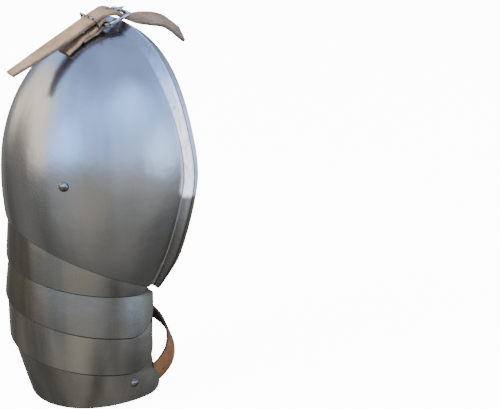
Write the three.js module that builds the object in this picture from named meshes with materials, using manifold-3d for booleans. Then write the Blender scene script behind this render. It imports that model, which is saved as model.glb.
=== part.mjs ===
import * as THREE from 'three';
import { mergeVertices } from 'three/addons/utils/BufferGeometryUtils.js';
import Module from 'manifold-3d';

// A steel pauldron for the right shoulder: a domed plate with a turned neck border, four lames that
// nest under it, the leathers and straps that carry them, and the buckle that hangs it up.
// Millimetres and degrees. +Z is up, -X is the outer side of the arm, -Y is the front.

// Sheet and clearances
const PLATE = 1.4;
const NEST_GAP = 0.85;
const SEAT_GAP = 0.3;

// Points closer than this are one: in a sheet of grid points, and in a solid that is cut
const WELD = { sheet: 1e-3, solid: 1e-4 };

// Steps, in degrees and millimetres, over which slopes of the plates and the crease are taken
const PROBE = { plate: 1, crease: 0.5 };

// Shoulder dome: an ellipsoid that leans forward, fuller below its widest level
const DOME = { x: -12, y: 0, z: -117, across: 95, depth: 96, rise: 119, drop: 150, lean: 9.2 };
const DOME_STEPS = { along: 40, across: 14 };

// Lower edge of the dome: height at the outer side, fore and aft lean, and arch towards the corners
const DOME_EDGE = { level: -50.2, lean: 10.7, arch: 24.3 };

// Crease where the neck border turns up: its offset to the neck side by the angle up from the front,
// and the angles between which it runs into the lower edge at the front and the back
const CREASE = { peak: 6.5, peakAngle: 17, slopeAbove: 0.32, slopeBelow: 0.38, round: 6, crownRound: 10 };
const CORNER_SEARCH = { front: [-60, 0], back: [240, 180], rounds: 40 };

// Neck border: a flange that flares up from the crease, and a lip that turns down beyond the ridge.
// The flare eases to the crown's between two angles, and both bands narrow towards the corners.
const BORDER = { flange: 10, lip: 12, flare: 74, fall: 38, cornerShrink: 0.62, cornerRun: 16 };
const CROWN = { flare: 24, from: 30, to: 86 };

// Lames from the top down: the ellipse of each lower edge, half its sweep, its tilts and its corners
const LAMES = [
  { x: -23.5, y: 15, z: -201.5, a: 77, b: 79, sweep: 101, lean: 11.8, roll: 0, corner: 24, height: 46 },
  { x: -24.5, y: 19, z: -237, a: 76, b: 81, sweep: 98, lean: 12, roll: 1, corner: 23, height: 61 },
  { x: -21.5, y: 22.5, z: -271, a: 75, b: 77.5, sweep: 99, lean: 11.6, roll: -1, corner: 23, height: 48 },
  { x: -9, y: 22.5, z: -305.5, a: 71, b: 70, sweep: 104, lean: 4, roll: -12, corner: 20, height: 64 },
];
// Share of each lame's sweep that its slanting ends lose from the lower edge to the top
const LAME_SLANT = [0, 0, 0, 0.078];
const LAME_STEPS = { corner: 7, middle: 22, shown: 3, hidden: 3 };
const LAME_BULGE = 0.3;
const LAME_MIN_SHOWN = 4;
const DOME_NEST_SWEEP = 103;

// Leather that carries the lames inside, from the dome rivet down to the last lame
const CARRIER = { from: -48, to: -24, thick: 2, steps: 6, topAbove: 14, margin: 6, step: 3, domeRows: 5 };

// Arm strap: a loop on the inner side, its ends under the ends of the last lame
const ARM_STRAP = { width: 17, thick: 2.2, tuck: 22, overlap: 31, past: 2, reach: 34, lift: 20 };
const ARM_STRAP_LEVEL = { front: 18, back: 27 };
const ARM_STRAP_ROUTE = { tuck: 4, loop: 8, steps: 48 };

// Shoulder strap: stations along its middle line, neck end first, in the dome's frame
const STRAP = { side: -3, width: 21, thick: 3, lead: 10, steps: 48 };
const STRAP_BILLET = { width: 17, from: 0.52, to: 0.72 };
const STRAP_TIP = { width: 9, from: 0.84, to: 1.06 };
const STRAP_ROUTE = [
  { x: 46, z: 113.8 },
  { x: 40, z: 117.8 },
  { x: 31, z: 121.4 },
  { x: 17, z: 122.8 },
  { x: 5, z: 123.0 },
  { x: -4, z: 125.2 },
  { x: -11, z: 128.9 },
  { x: -18, z: 130.0 },
  { x: -25, z: 127.9 },
  { x: -36, z: 121.5 },
  { x: -55, z: 109.5 },
  { x: -80, z: 94.4 },
  { x: -101, z: 82.2 },
];
const TONGUE_SLOT = { from: -20, to: 0, width: 5.4, height: 40 };

// Buckle: a heel bar in the chape and a plain bar over the strap, a tongue, and a wire keeper
const BUCKLE = { heelX: -25, heelZ: 121, barX: -4.4, barZ: 129.6, bar: 2.8, width: 29, bevel: 0.4, arc: 4 };
const TONGUE = { width: 3.2, thick: 2, tip: 2.4, tipThick: 1.2, hookFrom: 90, hookTo: 333, arc: 6 };
const KEEPER = { station: 0.735, wire: 2, width: 22.5, above: 2, below: 3 };

// Chape: a folded leather that lies on the dome in two layers, and its fold round the heel bar
const CHAPE = { width: 21, layer: 2, lowerEnd: -43, upperEnd: -56, drop: 5, lift: 0.5, rivetX: -38 };
const CHAPE_STEPS = { upper: 9, lower: 3, arc: 8 };
const FOLD = { radius: 4.2, from: 234, to: 495, neck: 1, gate: 16.8 };

// Rivets: head radius and height, shank radius, the flat peen inside, and the hole for the shank
const RIVET = { head: 4, height: 2.6, shank: 1.7, peen: 3.4, peenHeight: 1, sides: 16 };
const SMALL_RIVET = { head: 3.4, height: 2.2, shank: 1.5, peen: 3, peenHeight: 1, sides: 16 };
const RIVET_HEAD_STEPS = 5;
const PEEN_TAPER = 0.7;
const RIVET_HOLE = { length: 24, sides: 12 };
const DOME_RIVET = { azimuth: -36, level: 4 };

// Where along the crown line, from the dome's middle, the dome sits on the shoulder
const SEAT_X = -30;

// Colours of the bare finishes
const STEEL = { color: 0x9ba3ad, roughness: 0.32, metalness: 1 };
const NICKEL = { color: 0xc9c9c4, roughness: 0.2, metalness: 1 };
const PALE_LEATHER = { color: 0xb49a8b, roughness: 0.75, metalness: 0 };
const TAN_LEATHER = { color: 0xa8724a, roughness: 0.7, metalness: 0 };

const wasm = await Module();
wasm.setup();

const radians = THREE.MathUtils.degToRad;
const degrees = THREE.MathUtils.radToDeg;
const { lerp, smoothstep } = THREE.MathUtils;

function vector(x, y, z) {
  return new THREE.Vector3(x, y, z);
}

// A straight slope with a rounded start: zero with no slope at zero, and one to one far away
function rounded(value, width) {
  return Math.hypot(value, width) - width;
}

function spread(count, from, to) {
  return Array.from({ length: count + 1 }, (_, i) => lerp(from, to, i / count));
}

// Closed bodies from grids of points

function weld(triangles) {
  const geometry = new THREE.BufferGeometry();
  const flat = triangles.flatMap((corners) => corners.flatMap((p) => [p.x, p.y, p.z]));
  geometry.setAttribute('position', new THREE.Float32BufferAttribute(flat, 3));
  const merged = mergeVertices(geometry, WELD.sheet);
  const index = merged.getIndex().array;
  const kept = [];
  for (let i = 0; i < index.length; i += 3) {
    const [a, b, c] = [index[i], index[i + 1], index[i + 2]];
    if (a !== b && b !== c && c !== a) kept.push(a, b, c);
  }
  merged.setIndex(kept);
  return merged;
}

// A sheet between two grids of the same shape, closed along its four edges
function sheetSolid(outer, inner) {
  const triangles = [];
  const quad = (a, b, c, d) => triangles.push([a, b, c], [a, c, d]);
  const rows = outer.length - 1;
  const columns = outer[0].length - 1;
  for (let i = 0; i < rows; i += 1) {
    for (let j = 0; j < columns; j += 1) {
      quad(outer[i][j], outer[i][j + 1], outer[i + 1][j + 1], outer[i + 1][j]);
      quad(inner[i][j], inner[i + 1][j], inner[i + 1][j + 1], inner[i][j + 1]);
    }
    quad(outer[i][0], outer[i + 1][0], inner[i + 1][0], inner[i][0]);
    quad(outer[i + 1][columns], outer[i][columns], inner[i][columns], inner[i + 1][columns]);
  }
  for (let j = 0; j < columns; j += 1) {
    quad(outer[0][j + 1], outer[0][j], inner[0][j], inner[0][j + 1]);
    quad(outer[rows][j], outer[rows][j + 1], inner[rows][j + 1], inner[rows][j]);
  }
  return weld(triangles);
}

function toManifold(geometry) {
  const bare = geometry.clone();
  bare.deleteAttribute('normal');
  bare.deleteAttribute('uv');
  const merged = mergeVertices(bare, WELD.solid);
  const vertProperties = new Float32Array(merged.getAttribute('position').array);
  const triVerts = new Uint32Array(merged.getIndex().array);
  return new wasm.Manifold(new wasm.Mesh({ numProp: 3, vertProperties, triVerts }));
}

function fromManifold(solid) {
  const mesh = solid.getMesh();
  const geometry = new THREE.BufferGeometry();
  geometry.setAttribute('position', new THREE.Float32BufferAttribute(mesh.vertProperties, 3));
  geometry.setIndex(Array.from(mesh.triVerts));
  return geometry;
}

function cut(geometry, cutters) {
  return fromManifold(cutters.reduce((solid, c) => solid.subtract(toManifold(c)), toManifold(geometry)));
}

// Shoulder dome

const domeTilt = new THREE.Euler(radians(DOME.lean), 0, 0);
const domeCentre = vector(DOME.x, DOME.y, DOME.z);

function domeToPart(point) {
  return point.clone().applyEuler(domeTilt).add(domeCentre);
}

function domeHeight(level) {
  return level > 0 ? DOME.rise : DOME.drop;
}

function domeNormal(point) {
  const height = domeHeight(point.z);
  return vector(point.x / DOME.across ** 2, point.y / DOME.depth ** 2, point.z / height ** 2).normalize();
}

function ontoDome(direction) {
  const height = domeHeight(direction.z);
  const stretch = Math.hypot(direction.x / DOME.across, direction.y / DOME.depth, direction.z / height);
  return direction.clone().divideScalar(stretch);
}

// Point of the dome at an azimuth from the outer side, positive to the back, and a level
function domeAt(azimuth, level) {
  const [c, s] = [Math.cos(radians(azimuth)), Math.sin(radians(azimuth))];
  const ring = Math.sqrt(1 - (level / domeHeight(level)) ** 2);
  const radius = ring / Math.hypot(c / DOME.across, s / DOME.depth);
  return vector(-radius * c, radius * s, level);
}

function domeEdgeLevel(azimuth) {
  const angle = radians(azimuth);
  return DOME_EDGE.level + DOME_EDGE.lean * Math.sin(angle) - DOME_EDGE.arch * (1 - Math.cos(angle));
}

// Angle above the front or back horizon, eased over the crown
function creaseFold(angle) {
  return 90 - rounded(angle - 90, CREASE.crownRound);
}

function creasePoint(angle) {
  const away = creaseFold(angle) - CREASE.peakAngle;
  const slope = away > 0 ? CREASE.slopeAbove : CREASE.slopeBelow;
  const x = CREASE.peak - slope * rounded(away, CREASE.round);
  const ring = Math.sqrt(1 - (x / DOME.across) ** 2);
  const z = Math.sin(radians(angle));
  return vector(x, -DOME.depth * ring * Math.cos(radians(angle)), domeHeight(z) * ring * z);
}

function azimuthOf(point) {
  return degrees(Math.atan2(point.y, -point.x));
}

// Angle at which the crease runs into the lower edge, searched between two angles
function cornerAngle([below, above]) {
  let [low, high] = [below, above];
  for (let i = 0; i < CORNER_SEARCH.rounds; i += 1) {
    const middle = (low + high) / 2;
    const point = creasePoint(middle);
    if (point.z < domeEdgeLevel(azimuthOf(point))) low = middle;
    else high = middle;
  }
  return (low + high) / 2;
}

const frontCorner = cornerAngle(CORNER_SEARCH.front);
const backCorner = cornerAngle(CORNER_SEARCH.back);
const frontAzimuth = azimuthOf(creasePoint(frontCorner));
const backAzimuth = azimuthOf(creasePoint(backCorner));

// Middle line, in the plane across the crease, of the border at one angle: offsets and the face normals
function borderSection(angle) {
  const point = creasePoint(angle);
  const normal = domeNormal(point);
  const along = creasePoint(angle + PROBE.crease).sub(creasePoint(angle - PROBE.crease)).normalize();
  const toNeck = vector(0, 0, 0).crossVectors(along, normal);
  const fromCorner = Math.min(angle - frontCorner, backCorner - angle);
  const size = lerp(BORDER.cornerShrink, 1, smoothstep(fromCorner, 0, BORDER.cornerRun));
  const crowned = smoothstep(creaseFold(angle), CROWN.from, CROWN.to);
  const flare = radians(lerp(BORDER.flare, CROWN.flare, crowned));
  const fall = radians(BORDER.fall);
  const inPlane = (m, n) => toNeck.clone().multiplyScalar(m).addScaledVector(normal, n);
  const flangeRun = inPlane(Math.cos(flare), Math.sin(flare));
  const lipRun = inPlane(Math.cos(fall), -Math.sin(fall));
  const ridge = point.clone().addScaledVector(flangeRun, BORDER.flange * size);
  const lip = ridge.clone().addScaledVector(lipRun, BORDER.lip * size);
  const flangeFace = inPlane(-Math.sin(flare), Math.cos(flare));
  const lipFace = inPlane(Math.sin(fall), Math.cos(fall));
  return { point, ridge, lip, normal, flangeFace, lipFace };
}

// Inward step at a fold between two faces, so that both keep the sheet's thickness
function mitre(first, second) {
  return first.clone().add(second).multiplyScalar(-PLATE / (1 + first.dot(second)));
}

function domeGeometry() {
  const outer = [];
  const inner = [];
  for (const share of spread(DOME_STEPS.along, 0, 1)) {
    const angle = lerp(frontCorner, backCorner, share);
    const azimuth = lerp(frontAzimuth, backAzimuth, share);
    const edge = domeAt(azimuth, domeEdgeLevel(azimuth));
    const section = borderSection(angle);
    const from = edge.clone().normalize();
    const turn = new THREE.Quaternion().setFromUnitVectors(from, section.point.clone().normalize());
    const outerRow = [];
    const innerRow = [];
    for (const part of spread(DOME_STEPS.across, 0, 1).slice(0, -1)) {
      const step = new THREE.Quaternion().slerp(turn, part);
      const point = ontoDome(from.clone().applyQuaternion(step));
      outerRow.push(point);
      innerRow.push(point.clone().addScaledVector(domeNormal(point), -PLATE));
    }
    outerRow.push(section.point, section.ridge, section.lip);
    innerRow.push(
      section.point.clone().add(mitre(section.normal, section.flangeFace)),
      section.ridge.clone().add(mitre(section.flangeFace, section.lipFace)),
      section.lip.clone().addScaledVector(section.lipFace, -PLATE),
    );
    outer.push(outerRow.map(domeToPart));
    inner.push(innerRow.map(domeToPart));
  }
  return sheetSolid(outer, inner);
}

// Lames

function ringPoint(lame, azimuth) {
  const angle = radians(azimuth);
  const tilt = new THREE.Euler(radians(lame.lean), radians(lame.roll), 0);
  const local = vector(-lame.a * Math.cos(angle), lame.b * Math.sin(angle), 0);
  return local.applyEuler(tilt).add(vector(lame.x, lame.y, lame.z));
}

// Outer face of a plate: plate 0 is the dome, and a lame's height runs up from its lower ring
function plateAt(plate, azimuth, height) {
  if (plate === 0) {
    const share = (azimuth + DOME_NEST_SWEEP) / (2 * DOME_NEST_SWEEP);
    const turned = lerp(frontAzimuth, backAzimuth, share);
    return domeToPart(domeAt(turned, domeEdgeLevel(turned) + height));
  }
  const lame = LAMES[plate - 1];
  const bottom = ringPoint(lame, azimuth);
  const nest = insetFrom(plate - 1, azimuth, 0, PLATE + NEST_GAP);
  const shown = bottom.distanceTo(nest);
  if (height > shown) return insetFrom(plate - 1, azimuth, height - shown, PLATE + NEST_GAP);
  const share = height / shown;
  const out = vector(bottom.x - lame.x, bottom.y - lame.y, 0).normalize();
  return bottom.lerp(nest, share).addScaledVector(out, 4 * LAME_BULGE * share * (1 - share));
}

function plateNormal(plate, azimuth, height) {
  const [before, after] = [azimuth - PROBE.plate, azimuth + PROBE.plate];
  const around = plateAt(plate, after, height).sub(plateAt(plate, before, height));
  const upward = plateAt(plate, azimuth, height + PROBE.plate).sub(plateAt(plate, azimuth, height));
  return vector(0, 0, 0).crossVectors(upward, around).normalize();
}

function insetFrom(plate, azimuth, height, depth) {
  return plateAt(plate, azimuth, height).addScaledVector(plateNormal(plate, azimuth, height), -depth);
}

// Height of a lame below the edge of the plate above it
function shownHeight(plate, azimuth) {
  const nest = insetFrom(plate - 1, azimuth, 0, PLATE + NEST_GAP);
  return ringPoint(LAMES[plate - 1], azimuth).distanceTo(nest);
}

// Rise of the lower edge at a rounded corner, at a distance along the edge from its end
function cornerRise(lame, distance) {
  const inside = Math.max(0, 1 - distance / lame.corner);
  return lame.corner * (1 - Math.sqrt(1 - inside ** 2));
}

function lameAzimuths(lame) {
  const cornerSweep = degrees(lame.corner / lame.b);
  const inner = lame.sweep - cornerSweep;
  const near = spread(LAME_STEPS.corner, 0, 90).map((a) => cornerSweep * (1 - Math.cos(radians(a))));
  const front = near.map((step) => -lame.sweep + step);
  const back = near.map((step) => lame.sweep - step).reverse();
  return [...front, ...spread(LAME_STEPS.middle, -inner, inner).slice(1, -1), ...back];
}

function lameGeometry(number) {
  const lame = LAMES[number - 1];
  const outer = [];
  const inner = [];
  for (const azimuth of lameAzimuths(lame)) {
    const distance = radians(lame.sweep - Math.abs(azimuth)) * lame.b;
    const start = cornerRise(lame, distance);
    const middle = Math.max(shownHeight(number, azimuth), start + LAME_MIN_SHOWN);
    const heights = [
      ...spread(LAME_STEPS.shown, start, middle),
      ...spread(LAME_STEPS.hidden, middle, lame.height).slice(1),
    ];
    const turned = (height) => azimuth * (1 - LAME_SLANT[number - 1] * height / lame.height);
    outer.push(heights.map((h) => plateAt(number, turned(h), h)));
    inner.push(heights.map((h) => insetFrom(number, turned(h), h, PLATE)));
  }
  return sheetSolid(outer, inner);
}

// Leather that carries the lames

function carrierColumn(azimuth) {
  const flush = PLATE + NEST_GAP;
  const stations = [];
  let top = DOME_RIVET.level - domeEdgeLevel(DOME_RIVET.azimuth) + CARRIER.topAbove;
  LAMES.forEach((lame, i) => {
    const shown = shownHeight(i + 1, azimuth);
    const step = lame.height - shown + CARRIER.step;
    const rows = i === 0 ? CARRIER.domeRows : 1;
    const flat = spread(rows, top, step + CARRIER.margin);
    flat.forEach((height) => stations.push({ plate: i, height, depth: flush }));
    stations.push({ plate: i, height: step, depth: 2 * flush });
    top = shown;
  });
  stations.push({ plate: LAMES.length, height: top, depth: flush });
  stations.push({ plate: LAMES.length, height: CARRIER.margin, depth: flush });
  return stations;
}

function carrierGeometry() {
  const azimuths = spread(CARRIER.steps, CARRIER.from, CARRIER.to);
  const grid = (extra) => azimuths.map((azimuth) => (
    carrierColumn(azimuth).map((s) => insetFrom(s.plate, azimuth, s.height, s.depth + extra))
  ));
  return sheetSolid(grid(CARRIER.thick), grid(0));
}

// Arm strap

// Stations of the strap: under the front end of the last lame, round the inner side, under the back end
function armStrapRoute() {
  const last = LAMES.length;
  const lame = LAMES[last - 1];
  const depth = PLATE + NEST_GAP + SEAT_GAP + ARM_STRAP.thick / 2;
  const under = (azimuth, level) => ({
    point: insetFrom(last, azimuth, level, depth),
    up: plateAt(last, azimuth, level + PROBE.plate).sub(plateAt(last, azimuth, level)),
  });
  const [tuckFrom, tuckTo] = [lame.sweep - ARM_STRAP.overlap, lame.sweep + ARM_STRAP.past];
  const turns = spread(ARM_STRAP_ROUTE.tuck, tuckFrom, tuckTo);
  const front = turns.map((azimuth) => under(-azimuth, ARM_STRAP_LEVEL.front));
  const back = turns.map((azimuth) => under(azimuth, ARM_STRAP_LEVEL.back)).reverse();
  const [start, end] = [front[ARM_STRAP_ROUTE.tuck], back[0]];
  const loop = spread(ARM_STRAP_ROUTE.loop, -90, 90).slice(1, -1).map((angle) => {
    const share = (Math.sin(radians(angle)) + 1) / 2;
    const bow = vector(ARM_STRAP.reach, 0, ARM_STRAP.lift).multiplyScalar(Math.cos(radians(angle)));
    const point = start.point.clone().lerp(end.point, share).add(bow);
    return { point, up: start.up.clone().lerp(end.up, share) };
  });
  return [...front, ...loop, ...back];
}

// A strap of even thickness through stations, each a point and a direction across, with a flat lead
function ribbonGeometry(stations, width, thick, steps, lead = 0) {
  const curve = new THREE.CatmullRomCurve3(stations.map((station) => station.point), false, 'centripetal');
  const ups = new THREE.CatmullRomCurve3(stations.map((station) => station.up), false, 'centripetal');
  const outer = [];
  const inner = [];
  for (const share of spread(steps, 0, 1)) {
    const point = curve.getPoint(share);
    const along = curve.getTangent(share);
    const face = vector(0, 0, 0).crossVectors(along, ups.getPoint(share)).normalize();
    const across = vector(0, 0, 0).crossVectors(face, along).normalize();
    const half = width(share) / 2;
    const before = along.clone().multiplyScalar(-lead);
    const grids = [[outer, thick / 2], [inner, -thick / 2]];
    grids.forEach(([grid, level]) => {
      const middle = point.clone().addScaledVector(face, level);
      const row = [-half, half].map((side) => middle.clone().addScaledVector(across, side));
      if (lead > 0 && share === 0) grid.push(row.map((p) => p.clone().add(before)));
      grid.push(row);
    });
  }
  return sheetSolid(inner, outer);
}

// Shoulder strap, in the dome's frame

const strapPoints = STRAP_ROUTE.map(({ x, z }) => vector(x, STRAP.side, z));
const strapLine = new THREE.CatmullRomCurve3(strapPoints, false, 'centripetal');

function strapWidth(share) {
  const narrowed = smoothstep(share, STRAP_BILLET.from, STRAP_BILLET.to);
  const billet = lerp(STRAP.width, STRAP_BILLET.width, narrowed);
  return lerp(billet, STRAP_TIP.width, smoothstep(share, STRAP_TIP.from, STRAP_TIP.to));
}

function strapGeometry() {
  const stations = strapPoints.map((point) => ({ point, up: vector(0, 1, 0) }));
  const ribbon = ribbonGeometry(stations, strapWidth, STRAP.thick, STRAP.steps, STRAP.lead);
  const { from, to, width, height } = TONGUE_SLOT;
  const slot = new THREE.BoxGeometry(to - from, width, height);
  slot.translate((from + to) / 2, STRAP.side, BUCKLE.barZ);
  return cut(ribbon, [slot]);
}

// Buckle and keeper, flat frames with rounded corners

function roundedRectangle(path, width, height, radius) {
  const [w, h] = [width / 2, height / 2];
  path.moveTo(-w + radius, -h);
  path.lineTo(w - radius, -h);
  path.absarc(w - radius, -h + radius, radius, -Math.PI / 2, 0);
  path.lineTo(w, h - radius);
  path.absarc(w - radius, h - radius, radius, 0, Math.PI / 2);
  path.lineTo(-w + radius, h);
  path.absarc(-w + radius, h - radius, radius, Math.PI / 2, Math.PI);
  path.lineTo(-w, -h + radius);
  path.absarc(-w + radius, -h + radius, radius, Math.PI, Math.PI * 1.5);
  return path;
}

function frameGeometry(length, width, bar, thick, bevel) {
  const shape = roundedRectangle(new THREE.Shape(), length - 2 * bevel, width - 2 * bevel, bar);
  const hole = [length - 2 * bar + 2 * bevel, width - 2 * bar + 2 * bevel];
  shape.holes.push(roundedRectangle(new THREE.Path(), ...hole, bar / 2));
  const depth = thick - 2 * bevel;
  const settings = { depth, bevelSize: bevel, bevelThickness: bevel, bevelSegments: 1 };
  const geometry = new THREE.ExtrudeGeometry(shape, { ...settings, curveSegments: BUCKLE.arc });
  return geometry.translate(0, 0, -depth / 2);
}

const buckleRun = Math.hypot(BUCKLE.barX - BUCKLE.heelX, BUCKLE.barZ - BUCKLE.heelZ);
const bucklePitch = Math.atan2(BUCKLE.barZ - BUCKLE.heelZ, BUCKLE.barX - BUCKLE.heelX);

// Tongue: a flat bar hooked round the heel bar, lying on the far bar, in the plane of the buckle
function tongueGeometry() {
  const clear = BUCKLE.bar / 2 + 2 * SEAT_GAP;
  const around = clear + TONGUE.thick;
  const [hookFrom, hookTo] = [radians(TONGUE.hookFrom), radians(TONGUE.hookTo)];
  const profile = new THREE.Shape();
  profile.moveTo(0, around);
  profile.absarc(0, 0, around, hookFrom, hookTo);
  profile.absarc(0, 0, clear, hookTo, hookFrom, true);
  profile.lineTo(buckleRun + TONGUE.tip, clear);
  profile.lineTo(buckleRun + TONGUE.tip, clear + TONGUE.tipThick);
  profile.lineTo(buckleRun - TONGUE.tip, around);
  const settings = { depth: TONGUE.width, bevelEnabled: false, curveSegments: TONGUE.arc };
  return new THREE.ExtrudeGeometry(profile, settings).translate(0, 0, -TONGUE.width / 2);
}

// Chape: an upper and a lower layer on the dome's crown line and the fold round the heel bar
function crownLevel(x) {
  return DOME.rise * Math.sqrt(1 - (x / DOME.across) ** 2);
}

const chapeSpot = vector(CHAPE.rivetX, STRAP.side, crownLevel(CHAPE.rivetX));
const chapeOut = domeNormal(chapeSpot);

function chapeGeometry() {
  const { heelX, heelZ } = BUCKLE;
  const shape = new THREE.Shape();
  const base = (x) => crownLevel(x) + CHAPE.lift;
  const rest = heelX - FOLD.radius;
  const eased = (x) => CHAPE.layer * smoothstep(x, CHAPE.lowerEnd - CHAPE.drop, CHAPE.lowerEnd);
  spread(CHAPE_STEPS.upper, CHAPE.upperEnd, rest).forEach((x, i) => {
    const z = base(x) + eased(x);
    if (i === 0) shape.moveTo(x, z);
    else if (x < CHAPE.lowerEnd) shape.lineTo(x, z);
  });
  shape.lineTo(CHAPE.lowerEnd, base(CHAPE.lowerEnd) + CHAPE.layer);
  shape.lineTo(CHAPE.lowerEnd, base(CHAPE.lowerEnd));
  spread(CHAPE_STEPS.lower, CHAPE.lowerEnd, rest).slice(1).forEach((x) => shape.lineTo(x, base(x)));
  shape.absarc(heelX, heelZ, FOLD.radius, radians(FOLD.from), radians(FOLD.to));
  spread(CHAPE_STEPS.upper, rest - FOLD.neck, CHAPE.upperEnd).forEach((x) => {
    shape.lineTo(x, base(x) + eased(x) + CHAPE.layer);
  });
  const bore = new THREE.Path();
  bore.absarc(heelX, heelZ, BUCKLE.bar / 2 + 2 * SEAT_GAP, 0, Math.PI * 2);
  shape.holes.push(bore);
  const settings = { depth: CHAPE.width, bevelEnabled: false, curveSegments: CHAPE_STEPS.arc };
  const folded = new THREE.ExtrudeGeometry(shape, settings).rotateX(Math.PI / 2);
  folded.translate(0, STRAP.side + CHAPE.width / 2, 0);
  const gate = new THREE.BoxGeometry(FOLD.gate, TONGUE_SLOT.width, FOLD.gate);
  gate.translate(heelX + FOLD.radius, STRAP.side, heelZ);
  return cut(folded, [gate, seatHole({ point: chapeSpot, out: chapeOut }, SMALL_RIVET)]);
}

// Rivets, standing on +Z with the underside of the head at the origin

function rivetGeometry(size, grip) {
  const dome = spread(RIVET_HEAD_STEPS, 0, 90).map((a) => new THREE.Vector2(
    size.head * Math.sin(radians(a)),
    size.height * Math.cos(radians(a)),
  ));
  const below = [
    [size.shank, 0],
    [size.shank, -grip],
    [size.peen, -grip],
    [size.peen * PEEN_TAPER, -grip - size.peenHeight],
    [0, -grip - size.peenHeight],
  ].map(([r, z]) => new THREE.Vector2(r, z));
  const profile = [...dome, ...below].reverse();
  return new THREE.LatheGeometry(profile, size.sides).rotateX(Math.PI / 2);
}

// Turn that stands +Z along a direction
function standing(direction) {
  return new THREE.Quaternion().setFromUnitVectors(vector(0, 0, 1), direction);
}

// Seat of a rivet on a plate: the point on its outer face and the direction out of it
function rivetSeat(plate, azimuth, height) {
  return { point: plateAt(plate, azimuth, height), out: plateNormal(plate, azimuth, height) };
}

function seatHole(seat, size) {
  const radius = size.shank + SEAT_GAP;
  const hole = new THREE.CylinderGeometry(radius, radius, RIVET_HOLE.length, RIVET_HOLE.sides);
  return hole.rotateX(Math.PI / 2).applyQuaternion(standing(seat.out)).translate(...seat.point);
}

// Assembly

const pauldron = new THREE.Group();

function addPiece(name, geometry, finish, parent = pauldron) {
  const mesh = new THREE.Mesh(geometry, new THREE.MeshStandardMaterial(finish));
  mesh.name = name;
  parent.add(mesh);
  return mesh;
}

function addRivet(name, size, seat, grip, finish) {
  const mesh = addPiece(name, rivetGeometry(size, grip + 3 * SEAT_GAP), finish);
  mesh.position.copy(seat.point).addScaledVector(seat.out, SEAT_GAP);
  mesh.quaternion.copy(standing(seat.out));
}

const lastLame = LAMES.length;
const strapEnd = LAMES[lastLame - 1].sweep - ARM_STRAP.tuck;
const domeRivetHeight = DOME_RIVET.level - domeEdgeLevel(DOME_RIVET.azimuth);
const domeRivetTurn = DOME_RIVET.azimuth * DOME_NEST_SWEEP / -frontAzimuth;
const domeRivetSeat = rivetSeat(0, domeRivetTurn, domeRivetHeight);
const frontSeat = rivetSeat(lastLame, -strapEnd, ARM_STRAP_LEVEL.front);
const backSeat = rivetSeat(lastLame, strapEnd, ARM_STRAP_LEVEL.back);
const strapHoles = [seatHole(frontSeat, SMALL_RIVET), seatHole(backSeat, SMALL_RIVET)];

const chapeSeat = { point: domeToPart(chapeSpot), out: chapeOut.clone().applyEuler(domeTilt) };

const domeHoles = [seatHole(domeRivetSeat, RIVET), seatHole(chapeSeat, SMALL_RIVET)];
addPiece('shoulder_dome', cut(domeGeometry(), domeHoles), STEEL);
LAMES.forEach((lame, i) => {
  const whole = lameGeometry(i + 1);
  const riveted = i + 1 === lastLame;
  addPiece(`lame_${i + 1}`, riveted ? cut(whole, strapHoles) : whole, STEEL);
});

addPiece('lame_leather', cut(carrierGeometry(), [seatHole(domeRivetSeat, RIVET)]), TAN_LEATHER);
addRivet('dome_rivet', RIVET, domeRivetSeat, PLATE + NEST_GAP + CARRIER.thick, STEEL);

const armWidth = () => ARM_STRAP.width;
const armStrap = ribbonGeometry(armStrapRoute(), armWidth, ARM_STRAP.thick, ARM_STRAP_ROUTE.steps);
addPiece('arm_strap', cut(armStrap, strapHoles), TAN_LEATHER);
const armGrip = PLATE + NEST_GAP + SEAT_GAP + ARM_STRAP.thick;
addRivet('arm_strap_rivet_front', SMALL_RIVET, frontSeat, armGrip, STEEL);
addRivet('arm_strap_rivet_back', SMALL_RIVET, backSeat, armGrip, STEEL);

// The strap, the chape and the buckle stand in the dome's frame
const crown = new THREE.Group();
crown.position.copy(domeCentre);
crown.rotation.copy(domeTilt);
pauldron.add(crown);

addPiece('shoulder_strap', strapGeometry(), PALE_LEATHER, crown);
addPiece('buckle_chape', chapeGeometry(), PALE_LEATHER, crown);

const buckle = new THREE.Group();
buckle.position.set(BUCKLE.heelX, STRAP.side, BUCKLE.heelZ);
buckle.rotation.set(0, -bucklePitch, 0);
crown.add(buckle);
const frameLength = buckleRun + BUCKLE.bar;
const frame = frameGeometry(frameLength, BUCKLE.width, BUCKLE.bar, BUCKLE.bar, BUCKLE.bevel);
addPiece('buckle_frame', frame, NICKEL, buckle).position.x = buckleRun / 2;
addPiece('buckle_tongue', tongueGeometry(), NICKEL, buckle).rotation.x = Math.PI / 2;

const keeper = addPiece('strap_keeper', frameGeometry(
  KEEPER.above + KEEPER.below + 2 * KEEPER.wire,
  KEEPER.width + 2 * KEEPER.wire,
  KEEPER.wire,
  KEEPER.wire,
  BUCKLE.bevel,
), NICKEL, crown);
const keeperAlong = strapLine.getTangent(KEEPER.station);
const keeperUp = vector(keeperAlong.z, 0, -keeperAlong.x);
keeper.position.copy(strapLine.getPoint(KEEPER.station));
keeper.position.addScaledVector(keeperUp, (KEEPER.above - KEEPER.below) / 2);
keeper.rotation.set(0, Math.atan2(-keeperUp.z, keeperUp.x), 0);

const chapeTop = 2 * CHAPE.layer + CHAPE.lift;
chapeSeat.point.addScaledVector(chapeSeat.out, chapeTop);
addRivet('chape_rivet', SMALL_RIVET, chapeSeat, chapeTop + PLATE + SEAT_GAP, STEEL);

// The origin is where the dome's crown sits on the shoulder
const seat = vector(SEAT_X, 0, crownLevel(SEAT_X));
seat.addScaledVector(domeNormal(seat), -PLATE);
pauldron.position.copy(domeToPart(seat)).negate();

export default pauldron;
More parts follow.
